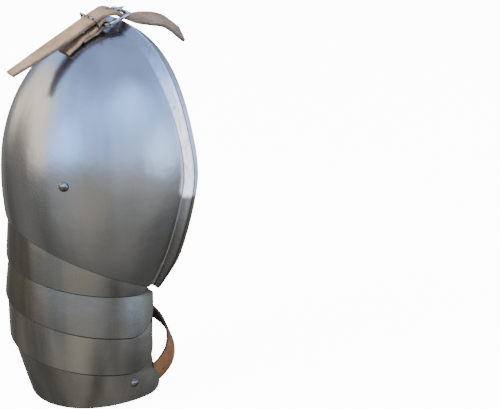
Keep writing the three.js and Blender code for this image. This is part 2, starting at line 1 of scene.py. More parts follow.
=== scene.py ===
"""Looks of a steel pauldron: fine plates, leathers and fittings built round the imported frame.

Shapes are worked out in millimetres and handed to Blender in metres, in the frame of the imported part.
"""

import logging
import math
from dataclasses import dataclass, field
from enum import Enum
from typing import Any, Callable, Optional, Sequence, Union

import bmesh
import bpy
import numpy as np
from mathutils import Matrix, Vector


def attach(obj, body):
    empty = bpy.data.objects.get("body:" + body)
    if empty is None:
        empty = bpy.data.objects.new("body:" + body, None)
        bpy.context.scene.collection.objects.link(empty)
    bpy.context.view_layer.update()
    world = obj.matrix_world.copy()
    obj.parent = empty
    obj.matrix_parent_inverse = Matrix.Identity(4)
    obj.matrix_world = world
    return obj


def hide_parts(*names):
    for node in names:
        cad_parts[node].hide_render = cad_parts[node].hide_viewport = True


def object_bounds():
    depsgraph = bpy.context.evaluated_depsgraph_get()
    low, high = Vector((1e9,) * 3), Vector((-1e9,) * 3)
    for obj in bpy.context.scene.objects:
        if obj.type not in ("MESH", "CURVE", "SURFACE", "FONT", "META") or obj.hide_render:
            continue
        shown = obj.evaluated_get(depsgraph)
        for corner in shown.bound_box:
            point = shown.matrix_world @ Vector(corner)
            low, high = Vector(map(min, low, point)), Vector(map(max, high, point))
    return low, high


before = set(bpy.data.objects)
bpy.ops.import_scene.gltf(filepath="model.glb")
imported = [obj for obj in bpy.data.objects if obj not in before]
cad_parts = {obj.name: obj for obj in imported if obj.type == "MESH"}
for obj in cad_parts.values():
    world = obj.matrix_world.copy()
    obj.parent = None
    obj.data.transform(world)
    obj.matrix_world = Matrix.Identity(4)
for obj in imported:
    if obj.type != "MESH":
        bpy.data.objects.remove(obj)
CAD_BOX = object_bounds()

log = logging.getLogger("pauldron")

BODY = "root"
MM = 0.001

# Sheet and gaps, in millimetres
PLATE = 1.4
NEST_GAP = 0.85
SEAT_GAP = 0.3

# Limits of the sums, and of meshes in metres
TINY = 1e-12
NUDGE = 1e-4
SEARCH_PASSES = 40
WELD = 1e-6
SLIVER = 1e-7
FLOOR_GAP = 0.001

# Strength of the white backdrop, and the colour sockets of a Mix node
WHITE_GLOW = 12.0
MIX_COLOURS = 6, 7
MIX_RESULT = 2

Array = np.ndarray
Object = bpy.types.Object
Pair = tuple[float, float]
Triple = tuple[float, float, float]


class Slot(Enum):
    """Material slots of the record."""

    PLATE = "plate_steel"
    RIVET = "rivet_steel"
    TAN = "tan_leather"
    PALE = "pale_leather"
    NICKEL = "nickel"


# Vector helpers


def unit(vectors: Array) -> Array:
    """Scales vectors along the last axis to length one."""
    return vectors / np.maximum(np.linalg.norm(vectors, axis=-1, keepdims=True), TINY)


def smoothstep(value: Array, low: float, high: float) -> Array:
    """Eases from zero at low to one at high."""
    t = np.clip((np.asarray(value, float) - low) / (high - low), 0, 1)
    return t * t * (3 - 2 * t)


def lerp(start: Array, end: Array, share: Array) -> Array:
    """Goes straight from start to end."""
    return start + (end - start) * share


def rounded(value: Array, width: float) -> Array:
    """Gives a one to one slope with a rounded start at zero."""
    return np.hypot(value, width) - width


def turn(lean: float, roll: float = 0.0) -> Array:
    """Makes a rotation about X after one about Y.

    Args:
        lean: degrees about X.
        roll: degrees about Y.

    Returns:
        A 3 by 3 matrix that acts on column vectors.
    """
    a, b = math.radians(lean), math.radians(roll)
    about_x = np.array([[1, 0, 0], [0, math.cos(a), -math.sin(a)], [0, math.sin(a), math.cos(a)]])
    about_y = np.array([[math.cos(b), 0, math.sin(b)], [0, 1, 0], [-math.sin(b), 0, math.cos(b)]])
    return about_x @ about_y


def grid_normals(grid: Array) -> Array:
    """Takes unit normals of a grid of points from its slopes.

    Args:
        grid: points as rows, columns, xyz.

    Returns:
        Normals of the same shape, along the cross of the column slope and the row slope.
    """
    return unit(np.cross(np.gradient(grid, axis=1), np.gradient(grid, axis=0)))


class SmoothLine:
    """Centripetal spline through points, by an even share per span."""

    def __init__(self, points: Array) -> None:
        """Keeps the points with one more beyond each end.

        Args:
            points: places that the line passes, as rows of xyz.
        """
        points = np.asarray(points, float)
        first, last = 2 * points[0] - points[1], 2 * points[-1] - points[-2]
        self.points = np.vstack([first, points, last])
        self.spans = len(points) - 1

    def at(self, share: Array) -> Array:
        """Gives points of the line.

        Args:
            share: places from zero to one.

        Returns:
            One point per place.
        """
        place = np.clip(np.asarray(share, float), 0, 1) * self.spans
        span = np.minimum(place.astype(int), self.spans - 1)
        w = (place - span)[:, None]
        x0, x1, x2, x3 = (self.points[span + i] for i in range(4))
        pairs = (x0, x1), (x1, x2), (x2, x3)
        gaps = [np.sqrt(np.linalg.norm(q - p, axis=1))[:, None] for p, q in pairs]
        d0, d1, d2 = (np.where(gap < NUDGE, 1.0, gap) for gap in gaps)
        t1 = ((x1 - x0) / d0 - (x2 - x0) / (d0 + d1) + (x2 - x1) / d1) * d1
        t2 = ((x2 - x1) / d1 - (x3 - x1) / (d1 + d2) + (x3 - x2) / d2) * d1
        bend = -3 * x1 + 3 * x2 - 2 * t1 - t2
        return x1 + t1 * w + bend * w**2 + (2 * x1 - 2 * x2 + t1 + t2) * w**3

    def along(self, share: Array) -> Array:
        """Gives unit tangents at places from zero to one."""
        share = np.asarray(share, float)
        return unit(self.at(share + NUDGE) - self.at(share - NUDGE))


# Forms of the plates, in millimetres


@dataclass(frozen=True)
class DomeForm:
    """The shoulder dome: a leaning ellipsoid, its lower edge and the crease of its neck border.

    The lower edge has a level at the outer side, a lean to the back and an arch. The crease has a peak,
    given as X and degrees up, and a slope on each side of it.
    """

    centre: Triple = (-12.0, 0.0, -117.0)
    across: float = 95.0
    depth: float = 96.0
    rise: float = 119.0
    drop: float = 150.0
    lean: float = 9.2
    edge: Triple = (-50.2, 10.7, 24.3)
    crease_peak: Pair = (6.5, 17.0)
    crease_slopes: Pair = (0.32, 0.38)
    crease_round: float = 6.0
    crown_round: float = 10.0
    seat_x: float = -30.0

    def to_part(self, points: Array) -> Array:
        """Moves points from the dome's frame to the part's."""
        return points @ turn(self.lean).T + np.array(self.centre)

    def turned(self, directions: Array) -> Array:
        """Turns directions from the dome's frame to the part's."""
        return directions @ turn(self.lean).T

    def height(self, level: Array) -> Array:
        """Gives the ellipsoid's half height above or below its widest level."""
        return np.where(np.asarray(level) > 0, self.rise, self.drop)

    def normal(self, points: Array) -> Array:
        """Gives the normals of the ellipsoid.

        Args:
            points: places on it, in the dome's frame.

        Returns:
            Unit vectors out of it.
        """
        height = self.height(points[..., 2])
        across, depth = (np.full_like(height, size) for size in (self.across, self.depth))
        return unit(points / np.stack([across, depth, height], axis=-1) ** 2)

    def onto(self, directions: Array) -> Array:
        """Puts directions on the ellipsoid.

        Args:
            directions: vectors from its centre.

        Returns:
            Points in the dome's frame.
        """
        x, y, z = (directions[..., i] for i in range(3))
        stretch = np.sqrt((x / self.across) ** 2 + (y / self.depth) ** 2 + (z / self.height(z)) ** 2)
        return directions / stretch[..., None]

    def at(self, azimuth: Array, level: Array) -> Array:
        """Gives points at an azimuth from the outer side and a level.

        Args:
            azimuth: degrees, positive to the back.
            level: height above the widest level.

        Returns:
            Points in the dome's frame.
        """
        azimuth, level = np.broadcast_arrays(np.asarray(azimuth, float), np.asarray(level, float))
        c, s = np.cos(np.radians(azimuth)), np.sin(np.radians(azimuth))
        ring = np.sqrt(np.maximum(0, 1 - (level / self.height(level)) ** 2))
        radius = ring / np.hypot(c / self.across, s / self.depth)
        return np.stack([-radius * c, radius * s, level], axis=-1)

    def edge_level(self, azimuth: Array) -> Array:
        """Gives the level of the lower edge.

        Args:
            azimuth: degrees from the outer side.

        Returns:
            Heights above the widest level.
        """
        level, lean, arch = self.edge
        angle = np.radians(azimuth)
        return level + lean * np.sin(angle) - arch * (1 - np.cos(angle))

    def fold(self, angle: Array) -> Array:
        """Gives the angle above the front or back horizon, eased over the crown."""
        return 90 - rounded(np.asarray(angle, float) - 90, self.crown_round)

    def crease(self, angle: Array) -> Array:
        """Gives points of the crease.

        Args:
            angle: degrees up from the front.

        Returns:
            Points in the dome's frame.
        """
        peak, peak_angle = self.crease_peak
        away = self.fold(angle) - peak_angle
        slope = np.where(away > 0, *self.crease_slopes)
        x = peak - slope * rounded(away, self.crease_round)
        ring = np.sqrt(1 - (x / self.across) ** 2)
        up, ahead = np.sin(np.radians(angle)), np.cos(np.radians(angle))
        return np.stack([x, -self.depth * ring * ahead, self.height(up) * ring * up], axis=-1)

    def corner(self, below: float, above: float) -> float:
        """Searches for where the crease meets the lower edge.

        Args:
            below: an angle of the crease that lies under the edge.
            above: an angle that lies over it.

        Returns:
            Degrees up from the front.
        """
        for _ in range(SEARCH_PASSES):
            middle = (below + above) / 2
            point = self.crease(np.array(middle))
            under = point[2] < self.edge_level(azimuth_of(point))
            below, above = (middle, above) if under else (below, middle)
        return (below + above) / 2

    def crown_level(self, x: Array) -> Array:
        """Gives the height of the crown line across the dome."""
        return self.rise * np.sqrt(1 - (np.asarray(x, float) / self.across) ** 2)

    def seat(self) -> Array:
        """Gives the point, in the part's frame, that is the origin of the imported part."""
        point = np.array([self.seat_x, 0.0, float(self.crown_level(self.seat_x))])
        return self.to_part(point - self.normal(point) * PLATE)


def azimuth_of(points: Array) -> Array:
    """Gives degrees from the outer side, positive to the back."""
    return np.degrees(np.arctan2(points[..., 1], -points[..., 0]))


@dataclass(frozen=True)
class LameForm:
    """One lame, by the ellipse of its lower edge.

    The sweep runs to both sides, the slant draws the ends in towards the top, and the tilt is about X and Y.
    """

    centre: Triple
    radii: Pair
    sweep: float
    slant: float
    tilt: Pair
    corner: float
    height: float

    def ring(self, azimuth: Array) -> Array:
        """Gives points of the lower edge's ellipse.

        Args:
            azimuth: degrees from the outer side.

        Returns:
            Points in the part's frame.
        """
        angle = np.radians(azimuth)
        across, depth = self.radii
        flat = np.stack([-across * np.cos(angle), depth * np.sin(angle), 0 * angle], axis=-1)
        return flat @ turn(*self.tilt).T + np.array(self.centre)

    def corner_rise(self, azimuth: Array) -> Array:
        """Gives how far a rounded corner lifts the edge.

        Args:
            azimuth: degrees from the outer side.

        Returns:
            Heights above the ellipse.
        """
        distance = np.radians(self.sweep - np.abs(azimuth)) * self.radii[1]
        inside = np.clip(1 - distance / self.corner, 0, 1)
        return self.corner * (1 - np.sqrt(1 - inside**2))


@dataclass
class Plates:
    """The nested plates: plate 0 is the dome, and lames follow from the top down."""

    dome: DomeForm = DomeForm()
    lames: tuple[LameForm, ...] = (
        LameForm((-23.5, 15.0, -201.5), (77.0, 79.0), 101.0, 0.0, (11.8, 0.0), 24.0, 46.0),
        LameForm((-24.5, 19.0, -237.0), (76.0, 81.0), 98.0, 0.0, (12.0, 1.0), 23.0, 61.0),
        LameForm((-21.5, 22.5, -271.0), (75.0, 77.5), 99.0, 0.0, (11.6, -1.0), 23.0, 48.0),
        LameForm((-9.0, 22.5, -305.5), (71.0, 70.0), 104.0, 0.078, (4.0, -12.0), 20.0, 64.0),
    )
    nest_sweep: float = 103.0
    bulge: float = 0.3
    front_search: Pair = (-60.0, 0.0)
    back_search: Pair = (240.0, 180.0)
    nests: dict[tuple, Array] = field(default_factory=dict)

    def __post_init__(self) -> None:
        """Works out where the dome's corners lie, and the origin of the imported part."""
        self.front_corner = self.dome.corner(*self.front_search)
        self.back_corner = self.dome.corner(*self.back_search)
        self.front_azimuth = float(azimuth_of(self.dome.crease(np.array(self.front_corner))))
        self.back_azimuth = float(azimuth_of(self.dome.crease(np.array(self.back_corner))))
        self.origin = self.dome.seat()

    def at(self, plate: int, azimuth: Array, height: Array) -> Array:
        """Gives points of a plate's outer face.

        Args:
            plate: 0 for the dome, or a lame's number.
            azimuth: degrees from the outer side.
            height: distance up from the plate's lower edge.

        Returns:
            Points in the part's frame.
        """
        azimuth, height = np.asarray(azimuth, float), np.asarray(height, float)
        if plate == 0:
            share = (azimuth + self.nest_sweep) / (2 * self.nest_sweep)
            turned = lerp(self.front_azimuth, self.back_azimuth, share)
            return self.dome.to_part(self.dome.at(turned, self.dome.edge_level(turned) + height))
        lame = self.lames[plate - 1]
        bottom, nest = lame.ring(azimuth), self.nest(plate, azimuth)
        shown = np.linalg.norm(nest - bottom, axis=-1)
        share = np.clip(height / shown, 0, 1)[..., None]
        out = unit((bottom - np.array(lame.centre)) * np.array([1, 1, 0]))
        below = lerp(bottom, nest, share) + out * (4 * self.bulge * share * (1 - share))
        above = self.inset(plate - 1, azimuth, np.maximum(0, height - shown), PLATE + NEST_GAP)
        return np.where((height > shown)[..., None], above, below)

    def seat(self, plate: int, azimuth: Array, height: Array) -> tuple[Array, Array]:
        """Gives points of a plate's outer face and the normals there.

        Args:
            plate: 0 for the dome, or a lame's number.
            azimuth: degrees from the outer side.
            height: distance up from the plate's lower edge.

        Returns:
            Points and unit vectors in the part's frame.
        """
        here = self.at(plate, azimuth, height)
        around = self.at(plate, azimuth + 1, height) - self.at(plate, azimuth - 1, height)
        return here, unit(np.cross(self.at(plate, azimuth, height + 1) - here, around))

    def inset(self, plate: int, azimuth: Array, height: Array, depth: float) -> Array:
        """Gives points at a depth under a plate's outer face."""
        point, normal = self.seat(plate, azimuth, height)
        return point - normal * depth

    def nest(self, plate: int, azimuth: Array) -> Array:
        """Gives where a lame passes under the edge of the plate above it.

        Args:
            plate: the lame's number.
            azimuth: degrees from the outer side.

        Returns:
            Points of the lame's outer face, which are worked out once.
        """
        key = (plate, azimuth.shape, azimuth.tobytes())
        if key not in self.nests:
            self.nests[key] = self.inset(plate - 1, azimuth, np.zeros_like(azimuth), PLATE + NEST_GAP)
        return self.nests[key]

    def shown(self, plate: int, azimuth: Array) -> Array:
        """Gives how high a lame stands below the edge of the plate above it."""
        return np.linalg.norm(self.nest(plate, azimuth) - self.lames[plate - 1].ring(azimuth), axis=-1)


# Materials


class Wire:
    """A node socket that makes Math nodes through the usual operators."""

    def __init__(self, tree: bpy.types.NodeTree, socket: bpy.types.NodeSocket) -> None:
        """Keeps the tree and the socket."""
        self.tree = tree
        self.socket = socket

    def math(self, operation: str, *operands: Any) -> "Wire":
        """Adds a Math node.

        Args:
            operation: the node's operation.
            operands: its inputs in order, as wires or numbers.

        Returns:
            The node's result.
        """
        node = self.tree.nodes.new("ShaderNodeMath")
        node.operation = operation
        for slot, operand in zip(node.inputs, operands):
            plug(self.tree, slot, operand)
        return Wire(self.tree, node.outputs[0])

    def __add__(self, other: Any) -> "Wire":
        """Adds."""
        return self.math("ADD", self, other)

    __radd__ = __add__

    def __sub__(self, other: Any) -> "Wire":
        """Takes other away."""
        return self.math("SUBTRACT", self, other)

    def __rsub__(self, other: Any) -> "Wire":
        """Takes this away from other."""
        return self.math("SUBTRACT", other, self)

    def __mul__(self, other: Any) -> "Wire":
        """Multiplies."""
        return self.math("MULTIPLY", self, other)

    __rmul__ = __mul__

    def __truediv__(self, other: Any) -> "Wire":
        """Divides by other."""
        return self.math("DIVIDE", self, other)

    def __rtruediv__(self, other: Any) -> "Wire":
        """Divides other by this."""
        return self.math("DIVIDE", other, self)

    def __pow__(self, other: Any) -> "Wire":
        """Raises to a power."""
        return self.math("POWER", self, other)

    def ramp(self, low: float, high: float) -> "Wire":
        """Adds a Map Range node that eases.

        Args:
            low: the value that gives zero.
            high: the value that gives one.

        Returns:
            The node's result.
        """
        node = self.tree.nodes.new("ShaderNodeMapRange")
        node.interpolation_type = "SMOOTHSTEP"
        plug(self.tree, node.inputs["Value"], self)
        node.inputs["From Min"].default_value = low
        node.inputs["From Max"].default_value = high
        return Wire(self.tree, node.outputs["Result"])


def plug(tree: bpy.types.NodeTree, slot: bpy.types.NodeSocket, value: Any) -> None:
    """Links a wire to an input, or sets the input's own value.

    Args:
        tree: the node tree.
        slot: the input.
        value: a wire, a number, a vector or a colour, or None to leave the input as it is.
    """
    if isinstance(value, Wire):
        tree.links.new(value.socket, slot)
    elif value is not None:
        slot.default_value = (*value, 1.0) if slot.type == "RGBA" and len(value) == 3 else value


class Graph:
    """A node tree under construction, with the few nodes that the finishes share."""

    def __init__(self, tree: bpy.types.NodeTree) -> None:
        """Clears the tree."""
        self.tree = tree
        tree.nodes.clear()

    def node(
        self, kind: str, settings: Optional[dict] = None, inputs: Optional[dict] = None
    ) -> bpy.types.Node:
        """Adds any node.

        Args:
            kind: the node's type.
            settings: attributes, set before the inputs.
            inputs: values or wires by input name or number.

        Returns:
            The node.
        """
        node = self.tree.nodes.new(kind)
        for name, value in (settings or {}).items():
            setattr(node, name, value)
        for name, value in (inputs or {}).items():
            plug(self.tree, node.inputs[name], value)
        return node

    def wire(self, node: bpy.types.Node, output: Union[str, int] = 0) -> Wire:
        """Wraps an output of a node."""
        return Wire(self.tree, node.outputs[output])

    def place(self, stretch: Sequence[float] = (1, 1, 1)) -> Wire:
        """Adds object coordinates.

        Args:
            stretch: scale along each axis.

        Returns:
            The scaled coordinates.
        """
        coordinates = self.wire(self.node("ShaderNodeTexCoord"), "Object")
        scaled = self.node("ShaderNodeVectorMath", {"operation": "MULTIPLY"}, {0: coordinates, 1: stretch})
        return self.wire(scaled)

    def noise(
        self, scale: float, stretch: Sequence[float] = (1, 1, 1), detail: float = 3.0, rough: float = 0.5
    ) -> Wire:
        """Adds noise in object space, from zero to one."""
        inputs = {"Vector": self.place(stretch), "Scale": scale, "Detail": detail, "Roughness": rough}
        return self.wire(self.node("ShaderNodeTexNoise", None, inputs), "Fac")

    def cells(self, scale: float, feature: str = "F1") -> Wire:
        """Adds the distances of cells in object space."""
        inputs = {"Vector": self.place(), "Scale": scale}
        return self.wire(self.node("ShaderNodeTexVoronoi", {"feature": feature}, inputs), "Distance")

    def mix(self, factor: Any, first: Any, second: Any) -> Wire:
        """Mixes two colours.

        Args:
            factor: share of the second.
            first: a colour or a wire.
            second: a colour or a wire.

        Returns:
            The mixed colour.
        """
        one, other = MIX_COLOURS
        node = self.node("ShaderNodeMix", {"data_type": "RGBA"}, {0: factor, one: first, other: second})
        return self.wire(node, MIX_RESULT)

    def bump(
        self, height: Wire, distance: float, strength: float = 1.0, normal: Optional[Wire] = None
    ) -> Wire:
        """Adds a bump of a height in metres."""
        inputs = {"Height": height, "Distance": distance, "Strength": strength, "Normal": normal}
        return self.wire(self.node("ShaderNodeBump", None, inputs))

    def surface(self, **inputs: Any) -> None:
        """Ends a material in a Principled shader.

        Args:
            inputs: its inputs, named in words.
        """
        titles = (name.replace("_", " ").title().replace("Ior", "IOR") for name in inputs)
        named = dict(zip(titles, inputs.values()))
        shader = self.node("ShaderNodeBsdfPrincipled", None, named)
        self.node("ShaderNodeOutputMaterial", None, {"Surface": self.wire(shader)})


class Finish:
    """A material that is made once and then shared."""

    name: str
    made: dict[str, bpy.types.Material] = {}

    def paint(self, graph: Graph) -> None:
        """Builds the nodes."""
        raise NotImplementedError

    def material(self) -> bpy.types.Material:
        """Gives the material.

        Returns:
            The one material of this name, which is made the first time.
        """
        if self.name not in Finish.made:
            made = bpy.data.materials.new(self.name)
            made.use_nodes = True
            self.paint(Graph(made.node_tree))
            Finish.made[self.name] = made
        return Finish.made[self.name]


@dataclass(frozen=True)
class Steel(Finish):
    """Satin steel: a fine grain from rubbing, faint scratches and gently uneven sheet, with strips of
    painted reflection round the arm where they are given.
    """

    name: str = "satin_steel"
    colour: Triple = (0.60, 0.60, 0.60)
    dark_tone: Triple = (0.45, 0.445, 0.43)
    roughness: float = 0.25
    rub: Triple = (1.0, 1.0, 0.06)
    strips: tuple[Triple, ...] = ()
    axis: Pair = (-0.022, 0.020)
    cloud_scale: float = 22.0
    band_scale: float = 34.0
    streak_scale: float = 420.0
    scratch_scale: float = 900.0

    def painted_reflection_tone(self, graph: Graph) -> Union[Wire, float]:
        """Sums the strips of painted reflection, each painted lighter or darker.

        Each strip is an angle round the arm, a spread and a gain.

        Args:
            graph: the material's nodes.

        Returns:
            The gain at each place.
        """
        if not self.strips:
            return 0.0
        place = graph.node("ShaderNodeSeparateXYZ", None, {0: graph.place()})
        outward, along = self.axis[0] - graph.wire(place, 0), graph.wire(place, 1) - self.axis[1]
        angle = along.math("ARCTAN2", along, outward) * math.degrees(1.0)
        total: Union[Wire, float] = 0.0
        for middle, spread, gain in self.strips:
            strip = angle.ramp(middle - spread, middle) * (1.0 - angle.ramp(middle, middle + spread))
            total = strip * gain + total
        return total

    def paint(self, graph: Graph) -> None:
        """Builds the nodes.

        Args:
            graph: the material's nodes.
        """
        cloud = graph.noise(self.cloud_scale, detail=4.0)
        band = graph.noise(self.band_scale, (1.0, 1.0, 0.12), detail=2.0)
        streak = graph.noise(self.streak_scale, self.rub, detail=4.0, rough=0.65)
        scratch = graph.noise(self.scratch_scale, (0.05, 0.35, 1.0), detail=2.0).ramp(0.68, 0.74)
        tone = (band - 0.5) * 1.7 + (cloud - 0.5) * 0.7 + (streak - 0.5) * 0.25 + 0.4
        # Painted reflection: the strips round the arm make the steel lighter or darker
        tone = tone - self.painted_reflection_tone(graph)
        colour = graph.mix(tone.ramp(0.0, 1.0), self.colour, self.dark_tone)
        roughness = self.roughness + (cloud - 0.5) * 0.10 + (streak - 0.5) * 0.08 + scratch * 0.04
        uneven = graph.bump(band + cloud * 0.7, 0.0016, 0.6)
        fine = graph.bump(streak - scratch * 0.25, 0.00002, 0.5, uneven)
        graph.surface(base_color=colour, metallic=1.0, roughness=roughness, normal=fine)


@dataclass(frozen=True)
class PaintedLightSteel(Finish):
    """Steel of the flange with painted light by height: a painted highlight at shoulder height, plain steel
    above and painted shade below, darker towards the bottom.
    """

    name: str = "flange_steel_painted_light"
    # Colours: the painted highlight, plain steel, and painted shade below the highlight, darkest at the
    # bottom
    bright: Triple = (0.97, 0.97, 0.97)
    plain: Triple = (0.58, 0.58, 0.58)
    painted_half_shade: Triple = (0.50, 0.46, 0.40)
    dark_tone: Triple = (0.22, 0.195, 0.16)
    # Heights in metres: where the painted shade lightens, where the painted highlight starts and where it
    # fades into plain steel
    base: Pair = (-0.165, -0.118)
    lower: Pair = (-0.127, -0.121)
    upper: Pair = (-0.075, -0.025)
    # Share of metal taken off in the painted highlight, so that it is bright as a matt colour
    highlight_diffuse: float = 0.9
    roughness: float = 0.30
    mark_scale: float = 300.0
    spread_scale: float = 45.0
    waver: float = 0.012

    def paint(self, graph: Graph) -> None:
        """Builds the nodes.

        Args:
            graph: the material's nodes.
        """
        mark = graph.noise(self.mark_scale, (1.0, 1.0, 0.45), detail=3.0, rough=0.6)
        spread = graph.noise(self.spread_scale, detail=3.0)
        place = graph.node("ShaderNodeSeparateXYZ", None, {0: graph.place()})
        # Painted light by height: a painted highlight band, plain steel above it and painted shade below it
        level = graph.wire(place, 2) + (spread - 0.5) * self.waver
        above, over = level.ramp(*self.lower), level.ramp(*self.upper)
        painted_highlight_band = above * (1.0 - over)
        below = graph.mix(level.ramp(*self.base), self.dark_tone, self.painted_half_shade)
        colour = graph.mix(over, graph.mix(above, below, self.bright), self.plain)
        marked = graph.mix(mark.ramp(0.45, 0.8) * 0.6, colour, self.dark_tone)
        roughness = self.roughness + (mark - 0.5) * 0.2
        normal = graph.bump(mark, 0.0003, 0.4)
        metallic = 1.0 - painted_highlight_band * self.highlight_diffuse
        graph.surface(base_color=marked, metallic=metallic, roughness=roughness, normal=normal)


@dataclass(frozen=True)
class ScaleAndPaintedShade(Finish):
    """Dark scale and old oil on cut edges and where plates lie on each other, which also paint shade: dark
    lines along plate edges, under the edge of the plate above and along the ridge.
    """

    name: str = "black_scale_and_painted_shade"
    colour: Triple = (0.035, 0.034, 0.032)
    marked: Triple = (0.10, 0.098, 0.092)
    roughness: float = 0.55
    mark_scale: float = 500.0

    def paint(self, graph: Graph) -> None:
        """Builds the nodes.

        Args:
            graph: the material's nodes.
        """
        mark = graph.noise(self.mark_scale, detail=4.0, rough=0.6)
        colour = graph.mix(mark.ramp(0.5, 0.8), self.colour, self.marked)
        roughness = self.roughness + (mark - 0.5) * 0.3
        normal = graph.bump(mark, 0.0001, 0.5)
        graph.surface(base_color=colour, metallic=0.4, roughness=roughness, normal=normal)


@dataclass(frozen=True)
class Polished(Finish):
    """Polished metal of rivets and fittings, with small handling marks and darker patches. On the nickel the
    dark patches are painted dark reflections as well as tarnish.
    """

    name: str = "polished_metal"
    colour: Triple = (0.72, 0.71, 0.69)
    marked: Triple = (0.52, 0.50, 0.47)
    roughness: float = 0.14
    cloud_scale: float = 260.0
    mark_scale: float = 1500.0

    def paint(self, graph: Graph) -> None:
        """Builds the nodes.

        Args:
            graph: the material's nodes.
        """
        cloud = graph.noise(self.cloud_scale, detail=4.0)
        mark = graph.noise(self.mark_scale, (1.0, 0.3, 0.3), detail=3.0)
        colour = graph.mix(cloud.ramp(0.42, 0.66), self.colour, self.marked)
        roughness = self.roughness + (cloud - 0.5) * 0.2 + mark.ramp(0.6, 0.75) * 0.12
        normal = graph.bump(mark, 0.00006, 0.5)
        graph.surface(base_color=colour, metallic=1.0, roughness=roughness, normal=normal)


@dataclass(frozen=True)
class Leather(Finish):
    """Leather: pores and creases of the grain, uneven dye and darker worn places."""

    name: str = "leather"
    colour: Triple = (0.50, 0.38, 0.32)
    dark: Triple = (0.33, 0.22, 0.17)
    roughness: float = 0.62
    pores: float = 1500.0
    depth: float = 0.00018
    gloss: float = 0.22
    cloud_scale: float = 70.0
    fibre_scale: float = 700.0
    crease_share: float = 0.45

    def paint(self, graph: Graph) -> None:
        """Builds the nodes.

        Args:
            graph: the material's nodes.
        """
        cloud = graph.noise(self.cloud_scale, detail=5.0, rough=0.6)
        fibre = graph.noise(self.fibre_scale, detail=4.0, rough=0.7)
        pore = graph.cells(self.pores)
        crease = graph.cells(self.pores * self.crease_share, "DISTANCE_TO_EDGE").ramp(0.0, 0.12)
        tone = (cloud - 0.5) * 2.0 + (fibre - 0.5) * 1.0 + (1.0 - crease) * 0.25 + 0.36
        colour = graph.mix(tone.ramp(0.0, 1.0), self.colour, self.dark)
        height = crease * 0.55 + pore * 0.3 + fibre * 0.5
        roughness = self.roughness + (fibre - 0.5) * 0.25
        normal = graph.bump(height, self.depth, 0.8)
        graph.surface(base_color=colour, roughness=roughness, specular_ior_level=self.gloss, normal=normal)


@dataclass(frozen=True)
class CutEdge(Finish):
    """Cut edge of a leather: bare fibre in layers."""

    name: str = "cut_edge"
    colour: Triple = (0.45, 0.31, 0.25)
    dark: Triple = (0.26, 0.16, 0.12)
    roughness: float = 0.72
    gloss: float = 0.2
    layer_scale: float = 1400.0
    cloud_scale: float = 120.0

    def paint(self, graph: Graph) -> None:
        """Builds the nodes.

        Args:
            graph: the material's nodes.
        """
        layer = graph.noise(self.layer_scale, (0.25, 0.25, 1.0), detail=3.0)
        cloud = graph.noise(self.cloud_scale, detail=3.0)
        colour = graph.mix((layer * 0.6 + cloud * 0.5).ramp(0.35, 0.8), self.colour, self.dark)
        normal = graph.bump(layer, 0.00015, 0.7)
        rough = self.roughness
        graph.surface(base_color=colour, roughness=rough, specular_ior_level=self.gloss, normal=normal)


STEEL = Steel()
FLANGE_PAINTED_LIGHT = PaintedLightSteel()
# Ridge steel: painted light by height, with a bright plain colour as a painted highlight along the top of
# the rim
RIM_STEEL = PaintedLightSteel("rim_steel_painted_highlight", plain=(0.90, 0.90, 0.89))
SCALE_AND_SHADE = ScaleAndPaintedShade()
LAME_COLOURS = (0.41, 0.395, 0.345), (0.37, 0.345, 0.285), (0.54, 0.515, 0.46), (0.65, 0.625, 0.56)
LAME_ROUGHNESS = 0.28
LAME_SHADE = 0.36
# Strips of painted reflection on the lames: angle round the arm, spread and gain
LAME_PAINTED_REFLECTIONS = (-78.0, 22.0, 0.5), (-101.0, 12.0, -0.2), (-10.0, 30.0, -0.12)
RIVET = Polished("polished_rivet", (0.42, 0.395, 0.35), (0.16, 0.155, 0.14), 0.12)
# Nickel: its very dark patch colour paints dark reflections on the buckle and keeper, as well as tarnish
NICKEL = Polished("bright_nickel", (0.86, 0.79, 0.68), (0.09, 0.083, 0.07), 0.10)
PALE = Leather("pale_leather", (0.415, 0.268, 0.143), (0.20, 0.118, 0.056))
PALE_EDGE = CutEdge("pale_leather_edge", (0.34, 0.22, 0.135), (0.17, 0.10, 0.06))
FLESH_GRAIN = {"roughness": 0.85, "pores": 900.0, "depth": 0.0003}
PALE_FLESH = Leather("pale_leather_flesh_side", (0.31, 0.205, 0.125), (0.19, 0.12, 0.07), **FLESH_GRAIN)
TAN = Leather("tan_leather", (0.36, 0.142, 0.042), (0.18, 0.066, 0.02), 0.55)
TAN_EDGE = CutEdge("tan_leather_edge", (0.22, 0.10, 0.045), (0.10, 0.045, 0.02))
FLESH = Leather("leather_flesh_side", (0.060, 0.047, 0.034), (0.026, 0.021, 0.016), **FLESH_GRAIN)


def lame_steel(number: int) -> Steel:
    """Gives a lame's own steel: a tone of its own, darker on the two upper lames and lighter on the two
    lower ones, with strips of painted reflection.

    Args:
        number: the lame's number from the top.

    Returns:
        The finish.
    """
    bright = LAME_COLOURS[number - 1]
    dark = tuple(value * LAME_SHADE for value in bright)
    return Steel(f"satin_steel_lame_{number}", bright, dark, LAME_ROUGHNESS, strips=LAME_PAINTED_REFLECTIONS)


# Meshes


def add_object(name: str, data: bpy.types.ID) -> Object:
    """Makes an object and links it to the scene.

    Args:
        name: the object's name.
        data: its mesh, camera or light.

    Returns:
        The object.
    """
    made = bpy.data.objects.new(name, data)
    bpy.context.scene.collection.objects.link(made)
    return made


